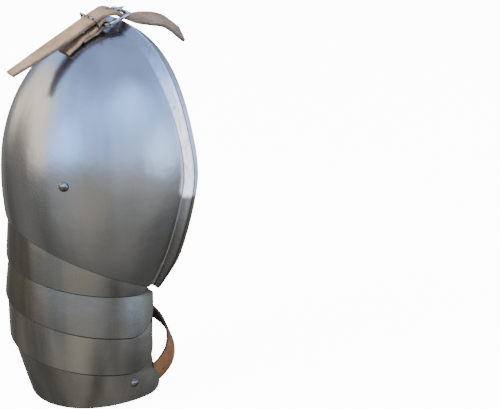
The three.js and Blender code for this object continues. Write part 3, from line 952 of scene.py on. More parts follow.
@dataclass
class Piece:
    """One piece of the visual model, from closed section loops that follow each other."""

    name: str
    node: str
    slot: Slot
    finishes: Sequence[Finish]
    plates: Plates
    cutters: list[Object] = field(default_factory=list)
    sharp: float = 38.0

    def loft(
        self, loops: Array, slots: Optional[Array] = None, closed: bool = False, cap: int = 0
    ) -> Object:
        """Joins section loops into a closed body.

        Args:
            loops: points as loops, points round a loop, xyz, in millimetres.
            slots: material numbers for the strips round a loop.
            closed: whether the last loop runs on into the first.
            cap: material number of the ends.

        Returns:
            The piece's object, in metres and in the part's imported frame.
        """
        count, around = loops.shape[:2]
        points = (loops.reshape(-1, 3) - self.plates.origin) * MM
        rows = np.arange(count if closed else count - 1)
        i, j = np.meshgrid(rows, np.arange(around), indexing="ij")
        k, m = (i + 1) % count, (j + 1) % around
        corners = [i * around + j, i * around + m, k * around + m, k * around + j]
        faces = np.stack(corners, axis=-1).reshape(-1, 4).tolist()
        numbers = np.tile(np.zeros(around, int) if slots is None else slots, len(rows)).tolist()
        if not closed:
            last = (count - 1) * around
            faces += [list(range(around))[::-1], list(range(last, last + around))]
            numbers += [cap] * 2
        mesh = bpy.data.meshes.new(self.name)
        mesh.from_pydata(points.tolist(), [], faces)
        mesh.polygons.foreach_set("material_index", numbers)
        return self.place(mesh)

    def place(self, mesh: bpy.types.Mesh) -> Object:
        """Cleans a mesh, dresses it and hangs it on the frame.

        Args:
            mesh: the piece's faces, in metres.

        Returns:
            The piece's object.
        """
        for finish in self.finishes:
            mesh.materials.append(finish.material())
        self.smooth(mesh)
        piece = add_object(self.name, mesh)
        for cutter in self.cutters:
            self.cut(piece, cutter)
        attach(piece, BODY)
        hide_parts(self.node)
        log.info("%s: %d faces", self.name, len(piece.data.polygons))
        return piece

    def smooth(self, mesh: bpy.types.Mesh) -> None:
        """Turns faces outward and shades them smooth up to the sharp angle.

        Args:
            mesh: the faces, which are also welded and cleared of slivers.
        """
        shape = bmesh.new()
        shape.from_mesh(mesh)
        bmesh.ops.remove_doubles(shape, verts=shape.verts, dist=WELD)
        bmesh.ops.dissolve_degenerate(shape, edges=shape.edges, dist=SLIVER)
        bare = [edge for edge in shape.edges if not edge.link_faces]
        bmesh.ops.delete(shape, geom=bare, context="EDGES")
        bmesh.ops.recalc_face_normals(shape, faces=shape.faces)
        for face in shape.faces:
            face.smooth = True
        for edge in shape.edges:
            edge.smooth = not edge.is_manifold or edge.calc_face_angle(0.0) < math.radians(self.sharp)
        shape.to_mesh(mesh)
        shape.free()

    def cut(self, piece: Object, cutter: Object) -> None:
        """Takes a cutter out of a piece and removes the cutter.

        Args:
            piece: the piece's object.
            cutter: the object that cuts it.
        """
        modifier = piece.modifiers.new("cut", "BOOLEAN")
        modifier.operation = "DIFFERENCE"
        modifier.object = cutter
        modifier.solver = "EXACT"
        modifier.use_self = True
        graph = bpy.context.evaluated_depsgraph_get()
        whole = piece.data
        piece.data = bpy.data.meshes.new_from_object(piece.evaluated_get(graph))
        piece.modifiers.clear()
        bpy.data.meshes.remove(whole)
        bpy.data.objects.remove(cutter)
        piece.data.name = self.name
        self.smooth(piece.data)


class Part(Enum):
    """Strips of a plate's section, as material numbers."""

    FACE = 0
    # Dark scale and old oil, which also paint shade lines along edges, under the plate above and on the
    # ridge
    DARK = 1
    # Steel with painted light by height: a painted highlight band and painted shade below it
    PAINTED_LIGHT = 2
    # Ridge steel with a painted highlight
    RIM = 3


EDGE_STEPS = 5
EDGE_SOFT = 0.6
EDGE_HOLD = 0.25
HOLD_SHARE = 0.4
EDGE_DEPTH = PLATE * EDGE_SOFT


def plate_loops(outer: Array, thick: float, soft: float = EDGE_SOFT) -> Array:
    """Closes rows of outer points into section loops of even thickness, with rounded edges beyond them.

    Args:
        outer: points as rows, columns, xyz, with outward normals by grid_normals.
        thick: thickness of the sheet.
        soft: depth of the rounding, as a share of the thickness.

    Returns:
        Loops, one for each row, with two columns more on each face.
    """
    depth = thick * soft
    steps = outer[:, 1:2] - outer[:, :1], outer[:, -2:-1] - outer[:, -1:]
    slopes = [unit(step) for step in steps]
    sizes = [np.linalg.norm(step, axis=-1, keepdims=True) for step in steps]
    runs = [np.minimum(EDGE_HOLD, HOLD_SHARE * size) for size in sizes]
    near, far = outer[:, :1], outer[:, -1:]
    holds = [end + slope * run for end, slope, run in zip((near, far), slopes, runs)]
    outer = np.concatenate([near, holds[0], outer[:, 1:-1], holds[1], far], axis=1)
    inner = outer - grid_normals(outer) * thick
    angles = np.linspace(0, math.pi, EDGE_STEPS + 2)[1:-1]

    def edge(column: int, slope: Array) -> Array:
        """Gives the points that round one edge.

        Args:
            column: the edge's column of points.
            slope: directions from the edge into the sheet.

        Returns:
            Points from the outer face to the inner one.
        """
        top, low = outer[:, column], inner[:, column]
        middle, half, back = (top + low) / 2, (top - low) / 2, slope[:, 0] * depth
        return np.stack([middle + half * math.cos(a) - back * math.sin(a) for a in angles], axis=1)

    return np.concatenate([outer, edge(-1, slopes[1]), inner[:, ::-1], edge(0, slopes[0])[:, ::-1]], axis=1)


def plate_slots(marks: Sequence[Part]) -> Array:
    """Gives material numbers round a plate's section.

    Args:
        marks: parts of the strips between the columns of its outer face, from the lower edge.

    Returns:
        Numbers for the loops of plate_loops.
    """
    face = [marks[0].value, *(mark.value for mark in marks), marks[-1].value]
    # The rounded edges take the dark scale, which also paints a shade line along each edge
    edge = [Part.DARK.value] * (EDGE_STEPS + 1)
    return np.array(face + edge + [Part.FACE.value] * len(face) + edge)


@dataclass
class DomePlate(Piece):
    """The shoulder dome with its neck border: crease, flange, ridge and lip."""

    rows: int = 220
    columns: int = 64
    ends: Pair = (0.008, 0.992)
    flange: float = 10.0
    lip: float = 12.0
    flare: float = 74.0
    crown_flare: float = 24.0
    flare_run: Pair = (30.0, 86.0)
    fall: float = 38.0
    corner_shrink: float = 0.62
    corner_run: float = 16.0
    probe: float = 0.5
    crease_radius: float = 1.5
    ridge_radius: float = 2.1
    arc_steps: int = 6
    band_steps: int = 6
    lip_steps: int = 7

    def build(self) -> Object:
        """Builds the plate.

        Returns:
            The plate's object.
        """
        share = np.linspace(*self.ends, self.rows)
        form, plates = self.plates.dome, self.plates
        angle = lerp(plates.front_corner, plates.back_corner, share)
        azimuth = lerp(plates.front_azimuth, plates.back_azimuth, share)
        edge = form.at(azimuth, form.edge_level(azimuth) + EDGE_DEPTH)
        crease, ridge, lip = self.border(angle)
        body = self.shell(edge, crease)
        bent = self.fillet(body[:, -2], crease, ridge, self.crease_radius)
        turned = self.fillet(crease, ridge, lip, self.ridge_radius)
        band = self.straight(bent[:, -1], turned[:, 0], self.band_steps)[:, 1:-1]
        hang = self.straight(turned[:, -1], lip, self.lip_steps)[:, 1:]
        keep = np.linalg.norm(body - crease[:, None], axis=2).mean(axis=0) > 2 * self.crease_radius
        outer = np.concatenate([body[:, keep], bent, band, turned, hang], axis=1)
        # Materials of the strips: the crease's far half, the flange and the lip take steel with painted
        # light by height, the ridge's first half a painted highlight, and one strip after it the dark scale
        # as a painted shade line
        half = self.arc_steps // 2
        marks = [Part.FACE] * (int(keep.sum()) + half) + [Part.PAINTED_LIGHT] * (half + band.shape[1])
        marks += [Part.RIM] * half + [Part.DARK] * (self.arc_steps - half - 2)
        marks += [Part.PAINTED_LIGHT] * (outer.shape[1] - 1 - len(marks))
        return self.loft(plate_loops(form.to_part(outer), PLATE), plate_slots(marks), cap=Part.DARK.value)

    def border(self, angle: Array) -> tuple[Array, Array, Array]:
        """Gives the lines of the border.

        Args:
            angle: degrees up from the front, one for each row.

        Returns:
            Points of the crease, the ridge and the lip's edge, in the dome's frame.
        """
        form = self.plates.dome
        crease = form.crease(angle)
        normal = form.normal(crease)
        along = unit(form.crease(angle + self.probe) - form.crease(angle - self.probe))
        neck = np.cross(along, normal)
        from_corner = np.minimum(angle - self.plates.front_corner, self.plates.back_corner - angle)
        size = lerp(self.corner_shrink, 1.0, smoothstep(from_corner, 0, self.corner_run))[:, None]
        crown = smoothstep(form.fold(angle), *self.flare_run)
        flare = np.radians(lerp(self.flare, self.crown_flare, crown))[:, None]
        fall = math.radians(self.fall)
        ridge = crease + (neck * np.cos(flare) + normal * np.sin(flare)) * self.flange * size
        lip = ridge + (neck * math.cos(fall) - normal * math.sin(fall)) * self.lip * size
        return crease, ridge, lip

    def shell(self, edge: Array, crease: Array) -> Array:
        """Runs rows over the ellipsoid.

        Args:
            edge: points of the lower edge.
            crease: points of the crease.

        Returns:
            Points as rows, columns, xyz, in the dome's frame.
        """
        start, end = unit(edge), unit(crease)
        angle = np.arccos(np.clip((start * end).sum(axis=1), -1, 1))[:, None, None]
        part = np.linspace(0, 1, self.columns)[None, :, None]
        sides = np.maximum(np.sin(angle), TINY)
        near, far = np.sin((1 - part) * angle) * start[:, None], np.sin(part * angle) * end[:, None]
        return self.plates.dome.onto((near + far) / sides)

    def fillet(self, before: Array, corner: Array, after: Array, radius: float) -> Array:
        """Rounds a fold.

        Args:
            before: points on the near side of the fold.
            corner: points of the fold.
            after: points on the far side.
            radius: radius of the outer face.

        Returns:
            Points of an arc for each row.
        """
        to_before, to_after = unit(before - corner), unit(after - corner)
        half = np.arccos(np.clip((to_before * to_after).sum(axis=1), -1, 1))[:, None] / 2
        reach = radius / np.tan(half)
        start, end = corner + to_before * reach, corner + to_after * reach
        share = np.linspace(0, 1, self.arc_steps)
        arc = [start * (1 - t) ** 2 + corner * 2 * t * (1 - t) + end * t**2 for t in share]
        return np.stack(arc, axis=1)

    def straight(self, start: Array, end: Array, steps: int) -> Array:
        """Runs straight from start to end in each row."""
        share = np.linspace(0, 1, steps + 1)[None, :, None]
        return lerp(start[:, None], end[:, None], share)


@dataclass
class LamePlate(Piece):
    """One lame, with rounded lower corners and its hidden upper part under the plate above."""

    columns: int = 170
    shown_rows: int = 18
    hidden_rows: int = 9
    least_shown: float = 4.0
    crevice: float = 0.9
    crowding: float = 1.35

    def build(self, number: int) -> Object:
        """Builds one lame.

        Args:
            number: its number from the top.

        Returns:
            The lame's object.
        """
        lame = self.plates.lames[number - 1]
        turn_share = np.linspace(-1, 1, self.columns)
        ease = np.sign(turn_share) * (1 - (1 - np.abs(turn_share)) ** self.crowding)
        azimuth = ease * lame.sweep
        start = lame.corner_rise(azimuth) + EDGE_DEPTH
        least, most = start + self.least_shown, lame.height - self.least_shown
        covered = np.clip(self.covered(number, azimuth), least, most)
        shown, hidden = (np.linspace(0, 1, rows)[None, :] for rows in (self.shown_rows, self.hidden_rows))
        low = lerp(start[:, None], covered[:, None] - self.crevice, shown)
        high = lerp(covered[:, None], lame.height, hidden)
        heights = np.concatenate([low, high], axis=1)
        outer = self.plates.at(number, azimuth[:, None] * (1 - lame.slant * heights / lame.height), heights)
        # The hidden part and the strip just under the plate above take the dark scale: old oil and a painted
        # shade line under that plate's edge
        marks = [Part.FACE] * (self.shown_rows - 1) + [Part.DARK] * self.hidden_rows
        return self.loft(plate_loops(outer, PLATE), plate_slots(marks), cap=Part.DARK.value)

    def covered(self, number: int, azimuth: Array) -> Array:
        """Gives where a lame passes under the plate above it, whose corners are rounded too.

        Args:
            number: the lame's number.
            azimuth: degrees from the outer side.

        Returns:
            Heights above the lame's lower edge.
        """
        shown = self.plates.shown(number, azimuth)
        if number == 1:
            return shown
        above = self.plates.lames[number - 2]
        inside = np.clip(azimuth, -above.sweep, above.sweep)
        return shown + above.corner_rise(inside)


# Straps and fittings


class Side(Enum):
    """Strips of a strap's section, as material numbers."""

    TOP = 0
    BOTTOM = 1
    EDGE = 2


def oblong(width: float, thick: float, radius: float, across: int = 6, arc: int = 5) -> tuple[Array, Array]:
    """Makes a section with rounded corners, flat along its first axis.

    Args:
        width: size along the first axis.
        thick: size along the second axis.
        radius: radius of the corners.
        across: steps along the top and the bottom.
        arc: steps round each corner.

    Returns:
        Points of the loop, and the side that each strip of it belongs to.
    """
    w, h = width / 2 - radius, thick / 2 - radius
    points: list[Pair] = []
    sides: list[int] = []
    for corner, (x, y) in enumerate(((w, h), (w, -h), (-w, -h), (-w, h))):
        for angle in np.radians(np.linspace(90, 0, arc + 1) - 90 * corner):
            points.append((x + radius * math.cos(angle), y + radius * math.sin(angle)))
            sides.append(Side.EDGE.value)
        if corner % 2:
            side = Side.BOTTOM if y < 0 else Side.TOP
            level = math.copysign(thick / 2, y)
            points += [(step, level) for step in np.linspace(x, -x, across + 1)[1:-1]]
            sides[-1] = side.value
            sides += [side.value] * (across - 1)
    return np.array(points), np.array(sides)


def sweep(points: Array, side: Array, out: Array, sections: Sequence[Array]) -> Array:
    """Sets sections along a line.

    Args:
        points: places of the sections.
        side: direction of each section's first axis.
        out: direction of each section's second axis.
        sections: loops of points in their own plane.

    Returns:
        Section loops.
    """
    rows = zip(points, side, out, sections)
    return np.array([p + section[:, :1] * s + section[:, 1:] * o for p, s, o, section in rows])


SLOT_END_STEPS = 9


def slot_cutter(plates: Plates, middle: Triple, size: Triple) -> Object:
    """Makes a body with round ends that cuts a slot along the dome's X.

    Args:
        plates: the plates, for the dome's frame.
        middle: middle of the slot in the dome's frame.
        size: length and width of the slot, and height of the body.

    Returns:
        The cutter's object.
    """
    length, width, height = size
    run = length / 2 - width / 2
    halves = [np.linspace(start, start + 180, SLOT_END_STEPS) for start in (-90, 90)]
    angles = np.radians(np.concatenate(halves))
    ends = np.repeat([run, -run], SLOT_END_STEPS)
    ring = np.stack([ends + width / 2 * np.cos(angles), width / 2 * np.sin(angles)], axis=-1)
    levels = [np.column_stack([ring, np.full(len(ring), z)]) for z in (-height / 2, height / 2)]
    points = plates.dome.to_part(np.vstack(levels) + np.array(middle))
    count = len(ring)
    sides = [(i, (i + 1) % count, count + (i + 1) % count, count + i) for i in range(count)]
    mesh = bpy.data.meshes.new("slot_cutter")
    caps = [tuple(range(count))[::-1], tuple(range(count, 2 * count))]
    mesh.from_pydata(((points - plates.origin) * MM).tolist(), [], sides + caps)
    return add_object("slot_cutter", mesh)


@dataclass
class Ribbon(Piece):
    """A strap of even thickness along a line."""

    thick: float = 2.0
    soft: float = 0.6
    steps: int = 200

    def ribbon(
        self, line: SmoothLine, ups: Array, width: Callable[[Array], Array], lead: float = 0.0
    ) -> Object:
        """Builds the strap.

        Args:
            line: its middle line, in the part's frame.
            ups: directions across it, one for each point of the line.
            width: its width at places from zero to one.
            lead: a straight run before the line's start.

        Returns:
            The strap's object.
        """
        share = np.linspace(0, 1, self.steps)
        points, along = line.at(share), line.along(share)
        face = unit(np.cross(along, SmoothLine(ups).at(share)))
        across = unit(np.cross(face, along))
        wide = width(share)
        if lead > 0:
            points = np.vstack([points[:1] - along[:1] * lead, points])
            face, across = (np.vstack([v[:1], v]) for v in (face, across))
            wide = np.concatenate([wide[:1], wide])
        sections = [oblong(size, self.thick, self.soft) for size in wide]
        loops = sweep(points, across, face, [loop for loop, _ in sections])
        return self.loft(loops, sections[0][1], cap=Side.EDGE.value)


# The strap's route and the buckle's bars, as X and Z in the dome's frame
STRAP_SIDE = -3.0
STRAP_ROUTE = (
    (46, 113.8), (40, 117.8), (31, 121.4), (17, 122.8), (5, 123.0), (-4, 125.2), (-11, 128.9),
    (-18, 130.0), (-25, 127.9), (-36, 121.5), (-55, 109.5), (-80, 94.4), (-101, 82.2),
)
HEEL = (-25.0, 121.0)
FAR_BAR = (-4.4, 129.6)
BAR = 2.8

# Degrees that the strap rolls at its end, before the buckle and at its tip, and where along it they change
STRAP_SAG = (30.0, 19.0, 5.0)
NECK_RUN = (0.02, 0.22)
BUCKLE_RUN = (0.2, 0.4)
TIP_RUN = (0.4, 0.58)

# The rivet on the dome's outer face, and the sizes in which it differs from the small ones
RIVET_AZIMUTH = -36.0
RIVET_LEVEL = 4.0
BIG_RIVET = {"head": 4.0, "height": 2.6, "shank": 1.7, "peen": 3.4}


def crown_line(plates: Plates, route: Sequence[Sequence[float]]) -> Array:
    """Puts X and Z stations of the dome's middle plane in the part's frame."""
    return plates.dome.to_part(np.array([(x, STRAP_SIDE, z) for x, z in route]))


def crown_across(plates: Plates, count: int) -> Array:
    """Gives the direction across the crown line, to the front, a number of times."""
    return np.repeat(plates.dome.turned(np.array([[0.0, -1.0, 0.0]])), count, axis=0)


def strap_front(place: Array) -> Array:
    """Gives the direction to the strap's front edge, which hangs a little on both sides of the buckle.

    Args:
        place: places along the strap from zero to one.

    Returns:
        Unit vectors in the dome's frame.
    """
    end, neck, tip = STRAP_SAG
    before = lerp(end, neck, smoothstep(place, *NECK_RUN)) * (1 - smoothstep(place, *BUCKLE_RUN))
    sag = np.radians(before + tip * smoothstep(place, *TIP_RUN))
    return np.stack([0 * sag, -np.cos(sag), -np.sin(sag)], axis=-1)


@dataclass
class ShoulderStrap(Ribbon):
    """The strap over the shoulder, from the neck side through the buckle to its tip."""

    thick: float = 3.0
    soft: float = 0.9
    width: float = 21.0
    tip_width: float = 9.0
    lead: float = 10.0
    billet_width: float = 17.0
    billet: Pair = (0.52, 0.72)
    taper: Pair = (0.84, 1.06)
    slot_x: float = -10.0
    slot_size: Triple = (20.0, 5.4, 40.0)

    def build(self) -> Object:
        """Builds the strap with its slot for the tongue.

        Returns:
            The strap's object.
        """
        middle = (self.slot_x, STRAP_SIDE, FAR_BAR[1])
        self.cutters.append(slot_cutter(self.plates, middle, self.slot_size))
        line = SmoothLine(crown_line(self.plates, STRAP_ROUTE))
        ups = strap_front(np.linspace(0, 1, len(STRAP_ROUTE)))
        return self.ribbon(line, self.plates.dome.turned(ups), self.width_at, self.lead)

    def width_at(self, share: Array) -> Array:
        """Gives the width along the strap, narrower towards the tip."""
        billet = lerp(self.width, self.billet_width, smoothstep(share, *self.billet))
        return lerp(billet, self.tip_width, smoothstep(share, *self.taper))


@dataclass
class Chape(Ribbon):
    """The folded leather that holds the buckle's heel bar and lies on the dome in two layers."""

    thick: float = 2.0
    soft: float = 0.6
    width: float = 21.0
    lift: float = 0.5
    lower_x: tuple[float, ...] = (-43.0, -40.0, -36.0, -33.0, -31.0)
    upper_x: tuple[float, ...] = (-32.0, -35.0, -38.0, -42.0, -45.0, -48.0, -52.0, -56.0)
    fold: float = 3.1
    fold_angles: tuple[float, ...] = (238, 265, 300, 340, 20, 60, 95, 125)
    drop: float = 5.0
    rise: float = 2.5
    rise_run: Pair = (-36.0, -28.0)
    layer_gap: float = 0.1
    gate_reach: float = 4.2
    gate_size: Triple = (18.0, 5.4, 16.8)

    def build(self) -> Object:
        """Builds the chape with its gate for the tongue.

        Returns:
            The chape's object.
        """
        crown = self.plates.dome.crown_level
        angles = np.radians(self.fold_angles)
        lower = [(x, float(crown(x)) + self.lift + self.thick / 2) for x in self.lower_x]
        bend = [(HEEL[0] + self.fold * math.cos(a), HEEL[1] + self.fold * math.sin(a)) for a in angles]
        upper = [(x, self.upper_level(x)) for x in self.upper_x]
        route = lower + bend + upper
        gate = (HEEL[0] + self.gate_reach, STRAP_SIDE, HEEL[1])
        self.cutters.append(slot_cutter(self.plates, gate, self.gate_size))
        line = SmoothLine(crown_line(self.plates, route))
        ups = crown_across(self.plates, len(route))
        return self.ribbon(line, ups, lambda share: np.full(len(share), self.width))

    def upper_level(self, x: float) -> float:
        """Gives the level of the upper layer, which steps down past the end of the lower one.

        Args:
            x: place along the crown line.

        Returns:
            Height above the dome's widest level.
        """
        end = self.lower_x[0]
        step = self.thick * float(smoothstep(x, end - self.drop, end))
        rise = self.rise * float(smoothstep(x, *self.rise_run))
        crown = float(self.plates.dome.crown_level(x))
        return crown + self.lift + step + rise + self.thick / 2 + self.layer_gap


@dataclass
class ArmStrap(Ribbon):
    """The loop on the inner side of the arm, with its ends under the ends of the last lame."""

    thick: float = 2.2
    soft: float = 0.7
    width: float = 17.0
    overlap: float = 31.0
    past: float = 2.0
    reach: float = 34.0
    lift: float = 20.0
    levels: Pair = (18.0, 27.0)
    end_stations: int = 5
    loop_stations: int = 9

    def build(self) -> Object:
        """Builds the strap.

        Returns:
            The strap's object.
        """
        last = len(self.plates.lames)
        sweep_angle = self.plates.lames[-1].sweep
        turns = np.linspace(sweep_angle - self.overlap, sweep_angle + self.past, self.end_stations)
        front, front_up = self.under(last, -turns, self.levels[0])
        back, back_up = self.under(last, turns[::-1], self.levels[1])
        angles = np.radians(np.linspace(-90, 90, self.loop_stations)[1:-1])[:, None]
        share = (np.sin(angles) + 1) / 2
        bow = np.cos(angles) * np.array([self.reach, 0, self.lift])
        loop = lerp(front[-1], back[0], share) + bow
        loop_up = lerp(front_up[-1], back_up[0], share)
        line = SmoothLine(np.vstack([front, loop, back]))
        ups = np.vstack([front_up, loop_up, back_up])
        return self.ribbon(line, ups, lambda places: np.full(len(places), self.width))

    def under(self, plate: int, azimuth: Array, level: float) -> tuple[Array, Array]:
        """Gives stations under a lame.

        Args:
            plate: the lame's number.
            azimuth: degrees from the outer side.
            level: height above the lame's lower edge.

        Returns:
            Points of the strap's middle line, and directions up along the lame.
        """
        height = np.full(len(azimuth), level)
        depth = PLATE + NEST_GAP + SEAT_GAP + self.thick / 2
        up = self.plates.at(plate, azimuth, height + 1) - self.plates.at(plate, azimuth, height)
        return self.plates.inset(plate, azimuth, height, depth), up


@dataclass
class LameLeather(Piece):
    """The leather inside that carries the lames, from the dome rivet down to the last lame."""

    thick: float = 2.0
    span: Pair = (-48.0, -24.0)
    columns: int = 20
    rows: int = 150
    top: float = 14.0
    margin: float = 6.0
    step: float = 3.0
    soft: float = 0.35
    passes: int = 6
    dome_stations: int = 6
    lame_stations: int = 2

    def build(self) -> Object:
        """Builds the leather.

        Returns:
            The leather's object.
        """
        azimuth = np.linspace(*self.span, self.columns)
        stations = self.stations(azimuth)
        lengths = np.linalg.norm(np.diff(stations, axis=1), axis=2).mean(axis=0)
        place = np.concatenate([[0], np.cumsum(lengths)])
        even = np.linspace(0, place[-1], self.rows)
        fine = np.stack([[np.interp(even, place, row[:, i]) for i in range(3)] for row in stations])
        eased = fine.transpose(0, 2, 1)
        for _ in range(self.passes):
            eased[:, 1:-1] = (eased[:, :-2] + 2 * eased[:, 1:-1] + eased[:, 2:]) / 4
        return self.loft(plate_loops(eased[:, ::-1], self.thick, self.soft))

    def stations(self, azimuth: Array) -> Array:
        """Gives points down the leather's outer face.

        Args:
            azimuth: degrees from the outer side, one for each row.

        Returns:
            Points as rows, stations, xyz, in the part's frame.
        """
        plates, flush = self.plates, PLATE + NEST_GAP
        points = []
        top = RIVET_LEVEL - plates.dome.edge_level(RIVET_AZIMUTH) + self.top + 0 * azimuth
        for i, lame in enumerate(plates.lames):
            shown = plates.shown(i + 1, azimuth)
            step = lame.height - shown + self.step
            for share in np.linspace(0, 1, self.lame_stations if i else self.dome_stations):
                points.append(plates.inset(i, azimuth, lerp(top, step + self.margin, share), flush))
            points.append(plates.inset(i, azimuth, step, 2 * flush))
            top = shown
        last = len(plates.lames)
        points.append(plates.inset(last, azimuth, top, flush))
        points.append(plates.inset(last, azimuth, np.full_like(azimuth, self.margin), flush))
        return np.stack(points, axis=1)


@dataclass
class Rivet(Piece):
    """A rivet with a domed head outside and a flat peen inside.

    The rows of the peen give a share of its radius and a depth.
    """

    head: float = 3.4
    height: float = 2.2
    shank: float = 1.5
    peen: float = 3.0
    rim: float = 0.3
    under_share: float = 0.985
    peen_rows: tuple[Pair, ...] = ((1.0, 0.0), (1.0, 0.4), (0.85, 0.8), (0.6, 1.0), (0.0, 1.0))
    rows: int = 12
    sides: int = 48

    def build(self, point: Array, out: Array, grip: float) -> Object:
        """Builds the rivet.

        Args:
            point: its seat on the outer face.
            out: direction out of the face.
            grip: thickness of what it holds.

        Returns:
            The rivet's object.
        """
        low = -grip - 3 * SEAT_GAP
        arc = np.radians(np.linspace(0, 90, self.rows))
        cap = self.height - self.rim
        dome = np.stack([self.head * np.sin(arc), self.rim + cap * np.cos(arc)], axis=-1)
        neck = [(self.head * self.under_share, 0.0), (self.shank, 0.0), (self.shank, low)]
        foot = [(self.peen * share, low - depth) for share, depth in self.peen_rows]
        profile = np.vstack([dome, neck, foot])
        side = unit(np.cross(out, [0.0, 0.0, 1.0]))
        front = np.cross(out, side)
        turns = np.linspace(0, 2 * math.pi, self.sides, endpoint=False)[:, None]
        spokes = np.cos(turns) * side + np.sin(turns) * front
        seat = point + out * SEAT_GAP
        loops = seat + profile[None, :, :1] * spokes[:, None] + profile[None, :, 1:] * out
        return self.loft(loops, closed=True)


@dataclass
class WireFrame(Piece):
    """A closed frame of bar or wire: a rectangle with rounded corners."""

    bar: float = BAR
    bend: float = 1.9
    section_radius: float = 0.95
    corner_steps: int = 9
    side_shares: Triple = (0.25, 0.5, 0.75)

    def build(self, middle: Array, first: Array, second: Array, length: float, width: float) -> Object:
        """Builds the frame.

        Args:
            middle: its middle, in the dome's frame.
            first: direction along its length, in the dome's frame.
            second: direction along its width.
            length: length of its middle line.
            width: width of its middle line.

        Returns:
            The frame's object.
        """
        x, y = length / 2 - self.bend, width / 2 - self.bend
        corners = np.array([(x, y), (-x, y), (-x, -y), (x, -y)])
        angles: list[float] = []
        centres: list[Array] = []
        for number, (corner, after) in enumerate(zip(corners, np.roll(corners, -1, axis=0))):
            angles += [*np.linspace(0, 90, self.corner_steps) + 90 * number]
            centres += [corner] * self.corner_steps
            angles += [90 + 90 * number] * len(self.side_shares)
            centres += [lerp(corner, after, share) for share in self.side_shares]
        away = np.stack([np.cos(np.radians(angles)), np.sin(np.radians(angles))], axis=-1)
        spots = np.array(centres) + away * self.bend
        dome = self.plates.dome
        points = dome.to_part(middle + spots[:, :1] * first + spots[:, 1:] * second)
        side = dome.turned(away[:, :1] * first + away[:, 1:] * second)
        up = np.repeat(dome.turned(np.cross(first, second)[None]), len(points), axis=0)
        loop, _ = oblong(self.bar, self.bar, self.section_radius, across=2, arc=6)
        return self.loft(sweep(points, side, up, [loop] * len(points)), closed=True)


@dataclass
class Tongue(Piece):
    """The buckle's tongue: hooked round the heel bar and lying over the far bar."""

    width: float = 3.2
    thick: float = 2.0
    tip: float = 2.4
    tip_thick: float = 1.2
    tip_share: float = 0.7
    soft: float = 0.5
    hook: Pair = (333.0, 96.0)
    hook_steps: int = 22
    flat_start: float = 0.4
    flat_steps: int = 16

    def build(self) -> Object:
        """Builds the tongue.

        Returns:
            The tongue's object.
        """
        first, up, run = buckle_axes()
        reach = BAR / 2 + 2 * SEAT_GAP + self.thick / 2
        arc = np.radians(np.linspace(*self.hook, self.hook_steps))
        hook = np.stack([reach * np.cos(arc), reach * np.sin(arc)], axis=-1)
        flat = np.linspace(self.flat_start, run + self.tip, self.flat_steps)
        spots = np.vstack([hook, np.stack([flat, np.full(len(flat), reach)], axis=-1)])
        taper = smoothstep(spots[:, 0], run - self.tip, run + self.tip)
        size = lerp(self.thick, self.tip_thick, taper)
        spots[:, 1] -= (self.thick - size) / 2
        dome = self.plates.dome
        origin = np.array([HEEL[0], STRAP_SIDE, HEEL[1]])
        points = dome.to_part(origin + spots[:, :1] * first + spots[:, 1:] * up)
        slope = unit(np.gradient(points, axis=0))
        side = np.repeat(dome.turned(np.array([[0.0, 1.0, 0.0]])), len(points), axis=0)
        out = unit(np.cross(slope, side))
        wide = lerp(self.width, self.width * self.tip_share, taper)
        sections = [oblong(w, t, self.soft, across=2, arc=4)[0] for w, t in zip(wide, size)]
        return self.loft(sweep(points, side, out, sections))


def buckle_axes() -> tuple[Array, Array, float]:
    """Gives the directions of the buckle.

    Returns:
        Its direction along, its direction up and its run between the bars, in the dome's frame.
    """
    x, z = FAR_BAR[0] - HEEL[0], FAR_BAR[1] - HEEL[1]
    run = math.hypot(x, z)
    return np.array([x / run, 0, z / run]), np.array([-z / run, 0, x / run]), run


